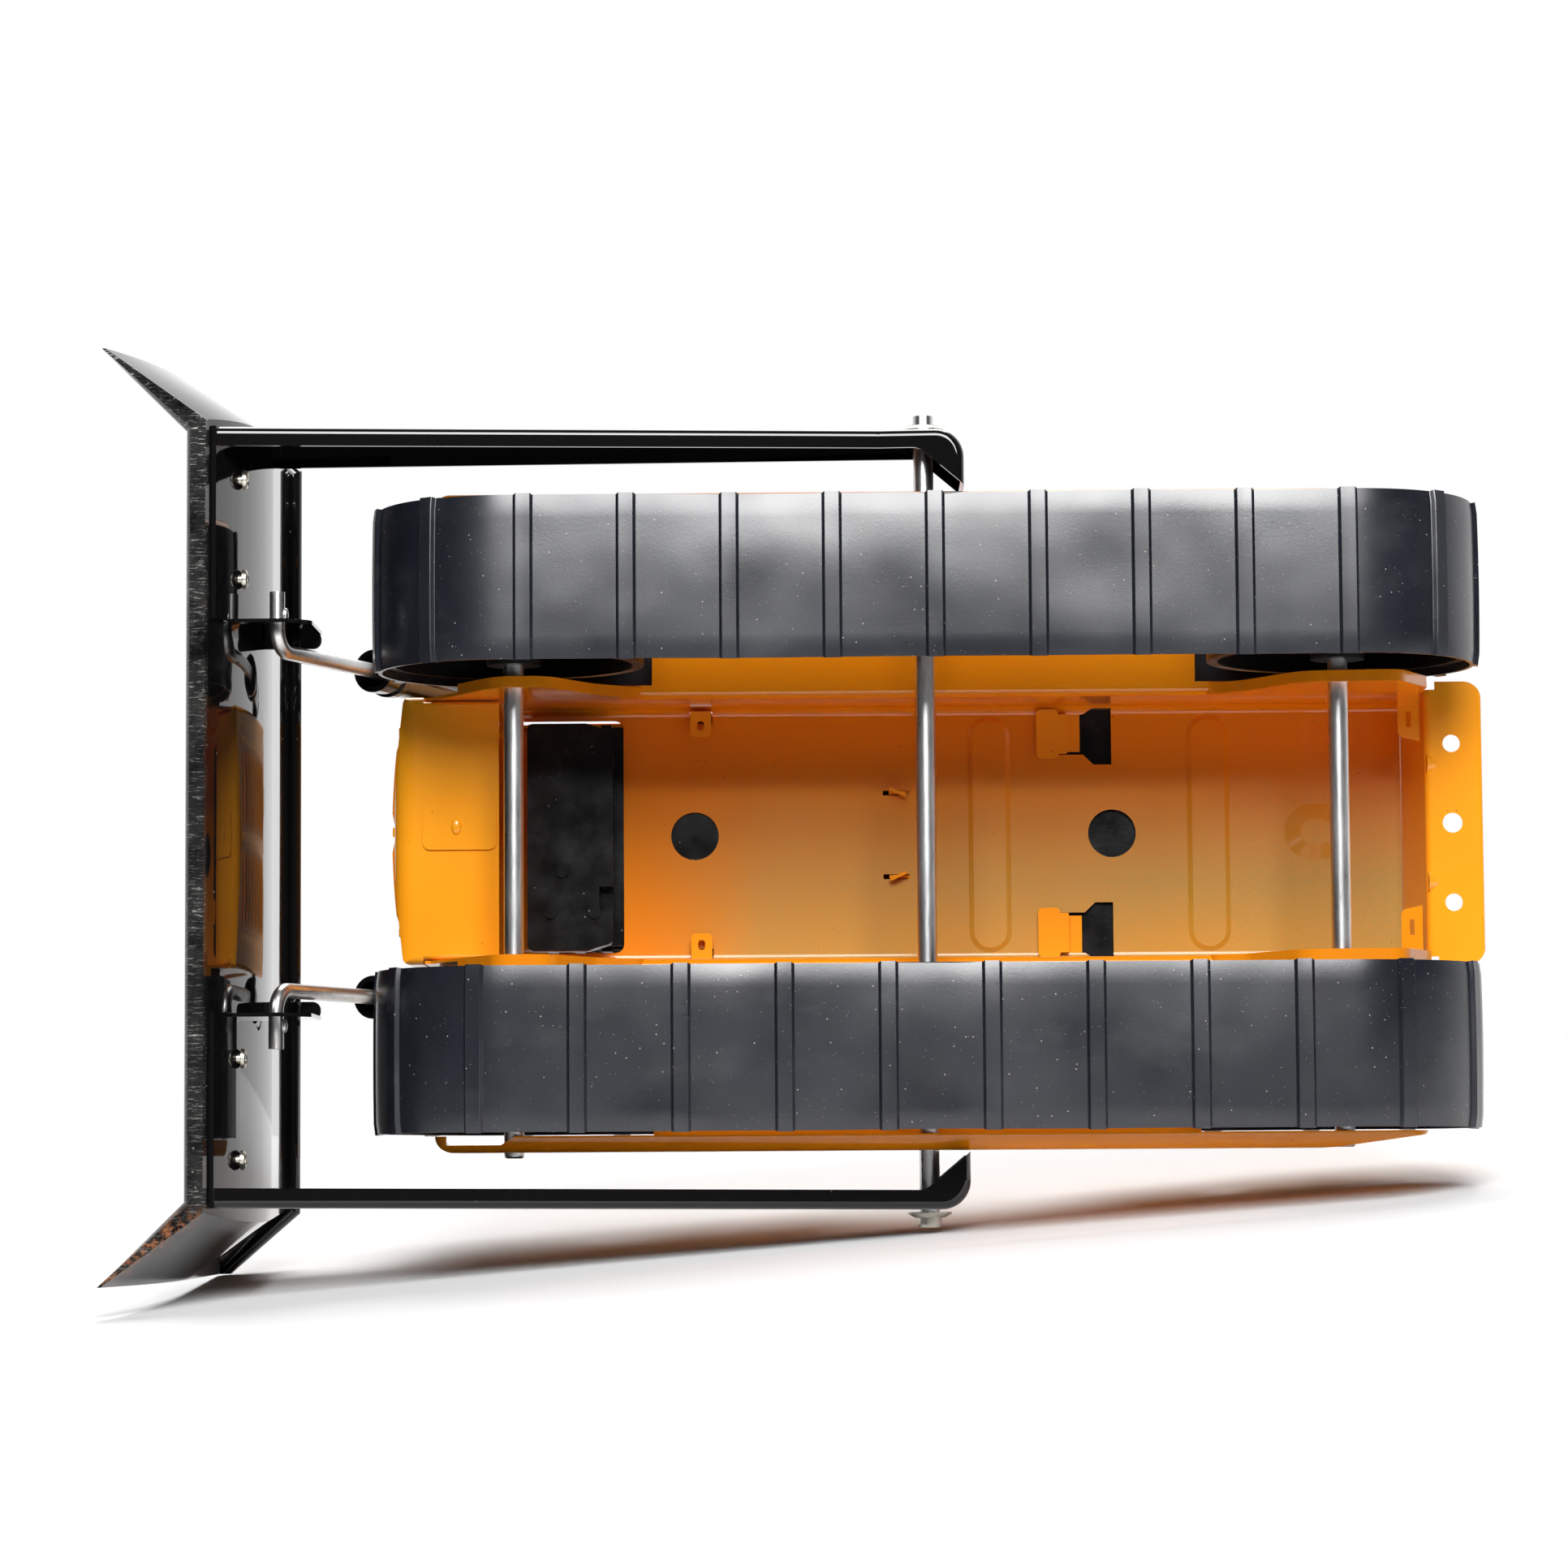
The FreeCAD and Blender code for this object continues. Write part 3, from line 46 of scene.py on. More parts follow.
# --- the viewing angle: from under the toy, which lies on its right side ---------------------
CAMERA_AT = Vector((-0.1158, 0.0085, -1.4372))
CAMERA_FORWARD = Vector((0.0856, -0.0106, 0.9963))
CAMERA_UP = Vector((0.9963, 0.0075, -0.0855))
CAMERA_LENS = 108.2
SENSOR = 36.0


# --- node helpers ---------------------------------------------------------------------------
class Nodes:
    """Short-hand for building a material's node tree."""

    def __init__(self, name):
        self.material = bpy.data.materials.new(name)
        self.material.use_nodes = True
        self.tree = self.material.node_tree
        self.shader = self.tree.nodes["Principled BSDF"]
        self.output = self.tree.nodes["Material Output"]
        self.place = self.tree.nodes.new("ShaderNodeTexCoord").outputs["Object"]

    def link(self, source, target):
        self.tree.links.new(source, target)

    def set(self, **values):
        for name, value in values.items():
            self.shader.inputs[name.replace("_", " ")].default_value = value

    def add(self, kind, **settings):
        node = self.tree.nodes.new(kind)
        for name, value in settings.items():
            setattr(node, name, value)
        return node

    def scaled(self, scale):
        node = self.add("ShaderNodeMapping")
        node.inputs["Scale"].default_value = scale
        self.link(self.place, node.inputs["Vector"])
        return node.outputs["Vector"]

    def noise(self, scale, detail=4.0, roughness=0.55, stretch=None, offset=None):
        node = self.add("ShaderNodeTexNoise")
        node.inputs["Scale"].default_value = scale
        node.inputs["Detail"].default_value = detail
        node.inputs["Roughness"].default_value = roughness
        place = self.scaled(stretch) if stretch else self.place
        if offset:
            shift = self.add("ShaderNodeVectorMath", operation="ADD")
            shift.inputs[1].default_value = offset
            self.link(place, shift.inputs[0])
            place = shift.outputs["Vector"]
        self.link(place, node.inputs["Vector"])
        return node.outputs["Fac"]

    def ramp(self, source, low, high, start=0.0, end=1.0):
        """Source rescaled so that low gives start and high gives end, clamped."""
        node = self.add("ShaderNodeMapRange")
        for name, value in (("From Min", low), ("From Max", high), ("To Min", start), ("To Max", end)):
            node.inputs[name].default_value = value
        self.link(source, node.inputs["Value"])
        return node.outputs["Result"]

    def math(self, operation, a, b=None):
        node = self.add("ShaderNodeMath", operation=operation)
        for socket, value in zip(node.inputs, (a, b)):
            if value is None:
                continue
            if isinstance(value, (int, float)):
                socket.default_value = value
            else:
                self.link(value, socket)
        return node.outputs["Value"]

    def mix(self, factor, a, b):
        node = self.add("ShaderNodeMix", data_type="RGBA")
        for socket, value in ((node.inputs[0], factor), (node.inputs[6], a), (node.inputs[7], b)):
            if isinstance(value, (int, float)):
                socket.default_value = value
            elif isinstance(value, tuple):
                socket.default_value = (*value, 1.0)
            else:
                self.link(value, socket)
        return node.outputs[2]

    def axis(self, index):
        node = self.add("ShaderNodeSeparateXYZ")
        self.link(self.place, node.inputs["Vector"])
        return node.outputs[index]

    def bump(self, height, distance, strength=1.0, before=None):
        node = self.add("ShaderNodeBump")
        node.inputs["Distance"].default_value = distance
        node.inputs["Strength"].default_value = strength
        self.link(height, node.inputs["Height"])
        if before is not None:
            self.link(before, node.inputs["Normal"])
        return node.outputs["Normal"]

    def finish(self, colour=None, roughness=None, normal=None, metallic=None):
        for name, source in (("Base Color", colour), ("Roughness", roughness), ("Normal", normal),
                             ("Metallic", metallic)):
            if source is not None:
                self.link(source, self.shader.inputs[name])
        return self.material


def specks(nodes, scale, share, offset=(0, 0, 0)):
    """Mask of small scattered specks: about the given share of the surface."""
    cells = nodes.add("ShaderNodeTexVoronoi")
    cells.inputs["Scale"].default_value = scale
    cells.inputs["Randomness"].default_value = 1.0
    shift = nodes.add("ShaderNodeVectorMath", operation="ADD")
    shift.inputs[1].default_value = offset
    nodes.link(nodes.place, shift.inputs[0])
    nodes.link(shift.outputs["Vector"], cells.inputs["Vector"])
    near = nodes.ramp(cells.outputs["Distance"], 0.10, 0.18, 1.0, 0.0)
    pick = nodes.add("ShaderNodeSeparateColor")
    nodes.link(cells.outputs["Color"], pick.inputs["Color"])
    chosen = nodes.math("LESS_THAN", pick.outputs["Red"], share)
    return nodes.math("MULTIPLY", near, chosen)


# --- materials ------------------------------------------------------------------------------
YELLOW = (0.95, 0.325, 0.008)
YELLOW_PALE = (0.98, 0.385, 0.014)
# darker copies of the same yellow: painted shade for the recessed body pan, not a different paint
YELLOW_PAINTED_SHADE = (0.86, 0.245, 0.004)
YELLOW_PAINTED_SHADE_PALE = (0.92, 0.290, 0.006)
OVERSPRAY = (0.29, 0.27, 0.050)
BLACK_PAINT = (0.004, 0.004, 0.0045)
BARE_STEEL = (0.42, 0.41, 0.39)
RUST = (0.26, 0.10, 0.04)
DUST = (0.45, 0.42, 0.36)
# where paint changes, as (from, to) places along one axis, in metres
OVERSPRAY_X = (0.030, -0.016)
OVERSPRAY_Y = (-0.066, -0.015)
OVERSPRAY_Z = (0.1045, 0.1060)
WORN_EDGE_Z = (0.0006, 0.0022)
RUST_X = (-0.119, -0.126)
RUST_Z = (0.001, 0.007)
FAINT_WEAR = 0.06              # of the bare steel that shows between the scratches


def yellow_enamel(name="yellow_enamel", overspray_and_painted_shade=False):
    """Sprayed enamel with faint orange peel; if asked, a darker copy of the colour as painted shade
    for the recessed pan, and dusty overspray.
    """
    n = Nodes(name)
    n.set(Coat_Weight=0.35, Coat_Roughness=0.05, IOR=1.45)
    tone = n.ramp(n.noise(12.0, 1.0), 0.3, 0.7)
    colour = n.mix(tone, YELLOW, YELLOW_PALE)
    rough = n.ramp(n.noise(16.0, 1.0), 0.3, 0.75, 0.14, 0.19)
    if overspray_and_painted_shade:
        # painted shade: the pan takes a darker copy of the yellow
        colour = n.mix(tone, YELLOW_PAINTED_SHADE, YELLOW_PAINTED_SHADE_PALE)
        grain = n.noise(3200.0, 2.0, 0.7)
        across = n.ramp(n.axis(0), *OVERSPRAY_X)
        patches = n.ramp(n.noise(7.0, 2.0, 0.5), 0.30, 0.70, 0.50, 1.0)
        behind_bay = n.ramp(n.axis(1), *OVERSPRAY_Y)
        under_deck = n.ramp(n.axis(2), *OVERSPRAY_Z)
        amount = n.math("MULTIPLY", n.math("MULTIPLY", patches, behind_bay), under_deck)
        amount = n.math("MULTIPLY", amount, across)
        amount = n.math("MULTIPLY", amount, n.ramp(grain, 0.38, 0.62, 0.55, 0.95))
        colour = n.mix(amount, colour, OVERSPRAY)
        rough = n.math("ADD", rough, n.math("MULTIPLY", amount, 0.25))
    dirt = n.math("MULTIPLY", specks(n, 520.0, 0.02), 0.55)
    colour = n.mix(dirt, colour, (0.10, 0.045, 0.01))
    peel = n.bump(n.noise(300.0, 2.0, 0.5), 0.000006, 0.1)
    waves = n.bump(n.noise(7.0, 0.0, 0.4), 0.0003, 0.1, peel)
    return n.finish(colour, rough, waves)


def black_enamel(name="black_enamel", worn=False):
    """Gloss black enamel; a worn one has scratched lower edges and rust on the right wing."""
    n = Nodes(name)
    n.set(Coat_Weight=0.9, Coat_Roughness=0.02, Specular_IOR_Level=0.15)
    scratch = n.ramp(n.noise(90.0, 6.0, 0.75, stretch=(1.0, 9.0, 9.0)), 0.66, 0.78)
    cloud = n.ramp(n.noise(22.0, 3.0), 0.35, 0.7)
    rough = n.ramp(n.math("MULTIPLY", scratch, cloud), 0.0, 1.0, 0.05, 0.3)
    colour = n.mix(n.math("MULTIPLY", specks(n, 420.0, 0.03), 0.35), BLACK_PAINT, DUST)
    metal = None
    if worn:
        low = n.ramp(n.axis(2), *WORN_EDGE_Z, 1.0, 0.0)
        fine = n.ramp(n.noise(1.0, 5.0, 0.8, stretch=(1700.0, 190.0, 700.0)), 0.55, 0.62)
        places = n.math("MULTIPLY", low, n.ramp(n.noise(48.0, 4.0, 0.75), 0.36, 0.58))
        scratches = n.math("MULTIPLY", places, fine)
        bare = n.math("MAXIMUM", scratches, n.math("MULTIPLY", places, FAINT_WEAR))
        right_wing = n.ramp(n.axis(0), *RUST_X)
        spots = n.ramp(n.noise(330.0, 5.0, 0.75), 0.48, 0.60)
        rust_height = n.ramp(n.axis(2), *RUST_Z, 1.0, 0.0)
        rust = n.math("MULTIPLY", n.math("MULTIPLY", spots, right_wing), rust_height)
        colour = n.mix(n.math("MULTIPLY", bare, 0.85), colour, BARE_STEEL)
        colour = n.mix(rust, colour, RUST)
        metal = n.math("MULTIPLY", bare, 0.6)
        rough = n.math("ADD", rough, n.math("MULTIPLY", n.math("ADD", bare, rust), 0.35))
    peel = n.bump(n.noise(180.0, 2.0, 0.5), 0.00003, 0.5)
    waves = n.bump(n.noise(12.0, 1.0, 0.4), 0.0012, 0.3, peel)
    return n.finish(colour, rough, waves, metal)


def track_rubber(name="track_rubber"):
    """Satin rubber with soft smudges, fine dust and a few brown specks."""
    n = Nodes(name)
    n.set(IOR=1.5, Specular_IOR_Level=0.8)
    tone = n.ramp(n.noise(30.0, 5.0, 0.6), 0.3, 0.72)
    colour = n.mix(tone, (0.005, 0.006, 0.010), (0.010, 0.012, 0.019))
    smudge = n.ramp(n.noise(60.0, 4.0, 0.6, stretch=(1.0, 0.5, 1.0)), 0.55, 0.80, 0.0, 0.25)
    colour = n.mix(smudge, colour, (0.055, 0.058, 0.066))
    dust = n.math("MAXIMUM", specks(n, 700.0, 0.05), specks(n, 1500.0, 0.05, (3.1, 1.7, 0.4)))
    colour = n.mix(n.math("MULTIPLY", dust, 0.8), colour, DUST)
    rough = n.ramp(n.noise(26.0, 2.0, 0.5), 0.3, 0.7, 0.24, 0.34)
    rough = n.math("ADD", rough, n.math("MULTIPLY", n.math("MAXIMUM", dust, smudge), 0.15))
    pores = n.bump(n.noise(1300.0, 3.0, 0.6), 0.00003, 0.6)
    dents = n.bump(n.noise(34.0, 1.0, 0.4), 0.0012, 0.45, pores)
    return n.finish(colour, rough, dents)


def zinc(name, colour_a, colour_b, along=(0.12, 1.0, 1.0)):
    """Zinc-plated steel with grainy streaks along the rod."""
    n = Nodes(name)
    n.set(Metallic=1.0)
    streak = n.ramp(n.noise(420.0, 5.0, 0.75, stretch=along), 0.35, 0.65)
    cloud = n.ramp(n.noise(26.0, 3.0, 0.6), 0.3, 0.7)
    colour = n.mix(streak, colour_a, colour_b)
    colour = n.mix(n.math("MULTIPLY", cloud, 0.3), colour, (0.38, 0.36, 0.33))
    rough = n.ramp(n.noise(300.0, 4.0, 0.7, stretch=along), 0.3, 0.7, 0.26, 0.38)
    grain = n.bump(n.noise(1400.0, 3.0, 0.6, stretch=along), 0.00002, 0.25)
    return n.finish(colour, rough, grain)


def moulded_black(name, base, pale, gloss):
    """Moulded plastic: fine texture, faint flow marks and dust."""
    n = Nodes(name)
    n.set(IOR=1.46, Specular_IOR_Level=0.35)
    tone = n.ramp(n.noise(24.0, 4.0), 0.3, 0.7)
    colour = n.mix(tone, base, pale)
    colour = n.mix(n.math("MULTIPLY", specks(n, 520.0, 0.04), 0.35), colour, DUST)
    rough = n.ramp(n.noise(90.0, 4.0), 0.3, 0.7, gloss, gloss + 0.14)
    texture = n.bump(n.noise(1100.0, 2.0, 0.5), 0.00004, 0.5)
    return n.finish(colour, rough, texture)


MATERIALS = {
    # the pan's enamel: painted shade as a darker yellow, plus real overspray
    "pan": yellow_enamel("enamel_with_overspray_and_painted_shade", overspray_and_painted_shade=True),
    "yellow": yellow_enamel(),
    "black": black_enamel(),
    "blade": black_enamel("black_enamel_worn", worn=True),
    "rubber": track_rubber(),
    "zinc": zinc("zinc_rod", (0.62, 0.63, 0.65), (0.90, 0.90, 0.91)),
    "lift_rod": zinc("zinc_lift_rod", (0.60, 0.60, 0.60), (0.74, 0.73, 0.72), (1.0, 1.0, 1.0)),
    "fastener": zinc("zinc_fastener", (0.50, 0.47, 0.40), (0.78, 0.75, 0.66), (1.0, 1.0, 1.0)),
    "wheel": moulded_black("wheel_plastic", (0.006, 0.006, 0.007), (0.012, 0.012, 0.013), 0.36),
    "moulding": moulded_black("black_moulding", (0.003, 0.003, 0.0035), (0.006, 0.006, 0.007), 0.16),
}

NODE_LOOK = {
    "body_pan": "pan", "hitch_plate": "yellow", "grille_shell": "yellow", "hood": "yellow",
    "instrument_cowl": "yellow", "seat_frame": "yellow", "fuel_tank": "yellow",
    "engine_block": "moulding", "exhaust_stack": "moulding", "air_cleaner": "moulding",
    "seat": "moulding", "control_levers": "black",
    "left_track_belt": "rubber", "right_track_belt": "rubber",
    "left_front_wheel": "wheel", "left_rear_wheel": "wheel",
    "right_front_wheel": "wheel", "right_rear_wheel": "wheel",
    "front_axle": "zinc", "rear_axle": "zinc", "pivot_axle": "zinc",
    "left_lift_rod": "lift_rod", "right_lift_rod": "lift_rod",
    "axle_washers": "fastener", "left_push_nut": "fastener", "right_push_cap": "fastener",
    "blade_rivets": "fastener",
    "moldboard": "blade", "left_push_arm": "black", "right_push_arm": "black",
    "left_cylinder": "black", "right_cylinder": "black",
}

for node, look in NODE_LOOK.items():
    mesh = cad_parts[node].data
    mesh.materials.clear()
    mesh.materials.append(MATERIALS[look])


# --- mesh helpers ---------------------------------------------------------------------------
def skin(bm, rings, closed=False, caps=False):
    """Faces between neighbouring rings of vertices; each ring is a closed outline."""
    count = len(rings)
    for i in range(count if closed else count - 1):
        here, there = rings[i], rings[(i + 1) % count]
        for j in range(len(here)):
            k = (j + 1) % len(here)
            bm.faces.new((here[j], here[k], there[k], there[j]))
    if caps:
        bm.faces.new(rings[0])
        bm.faces.new(rings[-1])


def finish_mesh(bm, name, look, crease=radians(40)):
    """The bmesh as a linked object, smooth but for edges sharper than the crease angle."""
    bmesh.ops.recalc_face_normals(bm, faces=bm.faces)
    mesh = bpy.data.meshes.new(name)
    bm.to_mesh(mesh)
    bm.free()
    mesh.shade_smooth()
    mesh.set_sharp_from_angle(angle=crease)
    mesh.materials.append(MATERIALS[look])
    made = bpy.data.objects.new(name, mesh)
    bpy.context.scene.collection.objects.link(made)
    return made


def lathe(bm, profile, at, axis, steps=32, ripple=0.0, ripples=0):
    """Turned shape added to the bmesh: profile is (radius, height) pairs along the axis.

    A ripple is a share of the radius, and ripples is how many go round.
    """
    axis = Vector(axis).normalized()
    side = axis.orthogonal().normalized()
    other = axis.cross(side)
    rings = []
    for radius, height in profile:
        ring = []
        for i in range(steps):
            angle = 2 * pi * i / steps
            reach = radius * (1 + ripple * cos(ripples * angle))
            ring.append(bm.verts.new(Vector(at) + axis * height
                                     + side * cos(angle) * reach + other * sin(angle) * reach))
        rings.append(ring)
    skin(bm, rings, caps=True)


# --- tracks ---------------------------------------------------------------------------------
CLEAT_PITCH = 31.75 * MM
CLEATS = 25
CLEAT_HEIGHT = 1.4 * MM
CLEAT_OVERHANG = 0.35 * MM     # how far a cleat stands past the belt's edges
BELT_THICKNESS = 1.94 * MM     # a little less than the CAD belt's, clear of its wheels
CROWN = 0.8 * MM               # how much lower the belt's edges are than its middle
CROWN_ON_WHEELS = 0.4          # share of the crown that is left where the belt turns
SAG = 0.60 * MM                # waviness of the straight runs
SAG_ON_WHEELS = 0.12           # share of the waviness that is left where the belt turns
EDGE_WANDER = 0.25 * MM
ROUNDED_FROM = 0.93            # of the half width: the belt's edges are rounded beyond it
EDGE_DROP = 0.4 * MM
WAVES_ALONG = 44.0             # bumps of the waviness in a metre
WAVES_ACROSS = 34.0
WANDERS = 19.0                 # bumps of the edges' wandering in a metre
BELT_COLUMNS = 15
# one cleat's section, as distance from its middle and height, both in mm
CLEAT_SECTION = [(-3.1, 0.0), (-2.75, 0.3), (-2.5, 1.1), (-2.15, 1.4), (-1.0, 1.36), (0.0, 1.34),
                 (1.0, 1.36), (2.15, 1.4), (2.5, 1.1), (2.75, 0.3), (3.1, 0.0)]
BETWEEN_CLEATS = range(5, 29, 3)   # further rows of points, in mm from the cleat's middle
FIRST_CLEAT = {"left": 5.8 * MM, "right": 22.05 * MM}


def middle_of(node):
    low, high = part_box(node)
    return (Vector(low) + Vector(high)) / 2


class Loop:
    """The path of a track belt's outer face, round the two wheels of one side."""

    def __init__(self, side):
        self.front = middle_of(side + "_front_wheel")
        self.rear = middle_of(side + "_rear_wheel")
        self.run = self.rear.y - self.front.y
        self.length = CLEATS * CLEAT_PITCH
        self.radius = (self.length - 2 * self.run) / (2 * pi)
        self.turn = pi * self.radius

    def straight(self, along):
        """1 in the middle of the straight runs and 0 on the turns."""
        along %= self.run + self.turn
        return max(0.0, sin(pi * along / self.run)) if along < self.run else 0.0

    def point(self, along, height):
        """(y, z) at a distance along the belt and a height over its outer face."""
        along %= self.length
        reach = self.radius + height
        half = self.run + self.turn
        upper = along >= half
        if upper:
            along -= half
        sign = -1 if upper else 1
        if along < self.run:
            start = self.rear if upper else self.front
            return start.y + sign * along, start.z - sign * reach
        angle = (along - self.run) / self.radius
        centre = self.front if upper else self.rear
        return centre.y + sign * sin(angle) * reach, centre.z - sign * cos(angle) * reach


def belt_stations(first):
    """(distance along the belt, height of the cleat there) all the way round."""
    stations = []
    for i in range(CLEATS):
        middle = first + i * CLEAT_PITCH
        stations += [(middle + x * MM, height * MM) for x, height in CLEAT_SECTION]
        stations += [(middle + x * MM, 0.0) for x in BETWEEN_CLEATS]
    return stations


def make_belt(side):
    """Rubber belt with moulded cleats: slightly crowned, a little wavy where it runs free."""
    sign = 1 if side == "left" else -1
    low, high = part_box(side + "_track_belt")
    middle_x = (low[0] + high[0]) / 2
    half_x = (high[0] - low[0]) / 2 - CLEAT_OVERHANG
    loop = Loop(side)
    bm = bmesh.new()
    rings = []
    for along, cleat in belt_stations(FIRST_CLEAT[side]):
        free = loop.straight(along)
        wander = Vector((along * WANDERS % (loop.length * WANDERS), sign * 4.0, 0.0))
        shift = noise.noise(wander) * EDGE_WANDER
        raised = cleat / CLEAT_HEIGHT
        reach = half_x + CLEAT_OVERHANG * raised
        y0, z0 = loop.point(along, 0.0)
        ring = []
        for column in range(BELT_COLUMNS):
            across = 2 * column / (BELT_COLUMNS - 1) - 1
            x = middle_x + across * reach + shift
            place = Vector((x * WAVES_ACROSS, y0 * WAVES_ALONG, z0 * WAVES_ALONG + sign * 7.0))
            sag = (noise.noise(place) - 1.0) * SAG * (SAG_ON_WHEELS + (1 - SAG_ON_WHEELS) * free)
            crown = CROWN * across ** 2 * (CROWN_ON_WHEELS + (1 - CROWN_ON_WHEELS) * free)
            edge = max(0.0, abs(across) - ROUNDED_FROM) / (1 - ROUNDED_FROM) * EDGE_DROP
            y, z = loop.point(along, cleat - crown + sag - edge)
            ring.append(bm.verts.new((x, y, z)))
        for across in (1, -1):
            x = middle_x + across * half_x + shift
            y, z = loop.point(along, -BELT_THICKNESS)
            ring.append(bm.verts.new((x, y, z)))
        rings.append(ring)
    skin(bm, rings, closed=True)
    return finish_mesh(bm, side + "_belt", "rubber", radians(38))


for side in ("left", "right"):
    belt = make_belt(side)
    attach(belt, "chassis")
    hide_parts(side + "_track_belt")


# --- small parts ----------------------------------------------------------------------------
RIVET_HEAD = 3.1 * MM
RIVET_SPACING = 31.3 * MM
RIB_STANDS_OUT = 0.8 * MM      # of the nose's face
NOSE_BOW = 255.0 * MM          # radius of the nose's bow
HOOD_RIB = 0.8 * MM            # height of the creases on the hood's top
LOUVRES = 11
LOUVRE_MARGIN = 14.0 * MM      # from the nose's lower and upper edges
LOUVRE_FROM = 3.0 * MM         # from the middle rib
LOUVRE_LENGTH = 27.0 * MM
LOUVRE_STEPS = 8
LOUVRE_TIP = 0.45              # height of its ends, as a share of the rest
BOLT_FROM_EDGE = 11.8 * MM
BOLT_PLACES = (0.10, 0.52, 0.92)   # shares of the hood's length
DASH_NORMAL = Vector((0, 32, 30)).normalized()
DASH_DOWN = Vector((0, 30, -32)).normalized()
GAUGES = ((0.0, 8.0), (-29.0, 6.5), (29.0, 6.5))   # place across and radius, in mm
GAUGE_FROM_REAR = 15.0 * MM
GAUGE_FROM_TOP = 15.8 * MM
DIAL_MARKS = 9
DIAL_TOP = 0.9 * MM
PLEATS = 6
PLEAT_SAMPLES = 10             # points across one pleat
PLEAT_STEPS = 12               # rows of points along a pleat
PLEAT_BASE = 0.5               # least height of a pleat and what its swell adds, in mm
PLEAT_SWELL = 1.7
PAD_HALF_WIDTH = 18.5 * MM
CUSHION_LENGTH = 36.0 * MM
CUSHION_FROM_FRONT = 4.5 * MM
CUSHION_HEIGHT = 19.8 * MM
BACKREST_LENGTH = 30.0 * MM
BACKREST_FROM_REAR = 18.0 * MM
BACKREST_FOOT = 22.8 * MM
BOOT_X = 17.0 * MM
BOOT_FROM_REAR = 11.3 * MM
BOOT_FROM_TOP = 19.8 * MM
BOOT_FOLDS = 4
TANK_CAP_X = 20.0 * MM


def millimetres(profile):
    return [(radius * MM, height * MM) for radius, height in profile]


def placed(bm, name, look, body, crease=radians(40)):
    """The finished piece with its material, riding on its body."""
    made = finish_mesh(bm, name, look, crease)
    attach(made, body)
    return made


def make_rivets():
    """Semi-tubular rivets: domed heads in front of the blade, rolled hollow ends behind."""
    low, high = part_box("blade_rivets")
    length = (high[1] - low[1]) / MM
    profile = [(0.05, 0.0), (1.6, 0.15), (2.7, 0.6), (3.1, 1.2), (2.9, 1.5), (1.6, 1.6),
               (1.6, length - 1.7), (3.0, length - 1.6), (3.1, length - 1.2),
               (2.8, length - 0.35), (2.1, length), (1.5, length - 0.3), (1.3, length - 1.0),
               (0.05, length - 1.1)]
    bm = bmesh.new()
    outer_x = high[0] - RIVET_HEAD
    for x in (outer_x, outer_x - RIVET_SPACING):
        for side in (-1, 1):
            at = (side * x, low[1], (low[2] + high[2]) / 2)
            lathe(bm, millimetres(profile), at, (0, 1, 0), steps=28)
    rivets = placed(bm, "semi_tubular_rivets", "fastener", "blade_frame")
    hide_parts("blade_rivets")


def make_louvres():
    """Hooded slats across the bowed nose, between its three upright ribs."""
    low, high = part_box("grille_shell")
    face_y = low[1] + RIB_STANDS_OUT
    section = [(0.3, 2.1), (-0.6, 0.9), (-1.3, -0.8), (-1.2, -1.3), (-0.7, -0.9), (0.3, 0.6)]
    spacing = (high[2] - low[2] - 2 * LOUVRE_MARGIN) / (LOUVRES - 1)
    bm = bmesh.new()
    for i in range(LOUVRES):
        z = low[2] + LOUVRE_MARGIN + i * spacing
        for side in (-1, 1):
            rings = []
            for step in range(LOUVRE_STEPS + 1):
                x = side * (LOUVRE_FROM + LOUVRE_LENGTH * step / LOUVRE_STEPS)
                taper = LOUVRE_TIP if step in (0, LOUVRE_STEPS) else 1.0
                y = face_y + x * x / (2 * NOSE_BOW)
                rings.append([bm.verts.new((x, y + out * taper * MM, z + up * taper * MM))
                              for out, up in section])
            skin(bm, rings, caps=True)
    placed(bm, "nose_louvres", "yellow", "chassis")


def make_hood_bolts():
    """Hexagon bolts with washers along both edges of the hood's top."""
    low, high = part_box("hood")
    washer = [(0.1, -0.2), (3.2, -0.2), (3.2, 0.25), (2.9, 0.45), (0.1, 0.45)]
    head = [(0.1, 0.3), (2.3, 0.3), (2.3, 1.6), (1.9, 2.0), (0.1, 2.1)]
    bm = bmesh.new()
    for side in (-1, 1):
        for share in BOLT_PLACES:
            at = (side * (high[0] - BOLT_FROM_EDGE), low[1] + share * (high[1] - low[1]),
                  high[2] - HOOD_RIB)
            lathe(bm, millimetres(washer), at, (0, 0, 1), steps=28)
            lathe(bm, millimetres(head), at, (0, 0, 1), steps=6)
    placed(bm, "hood_bolts", "fastener", "chassis", radians(25))


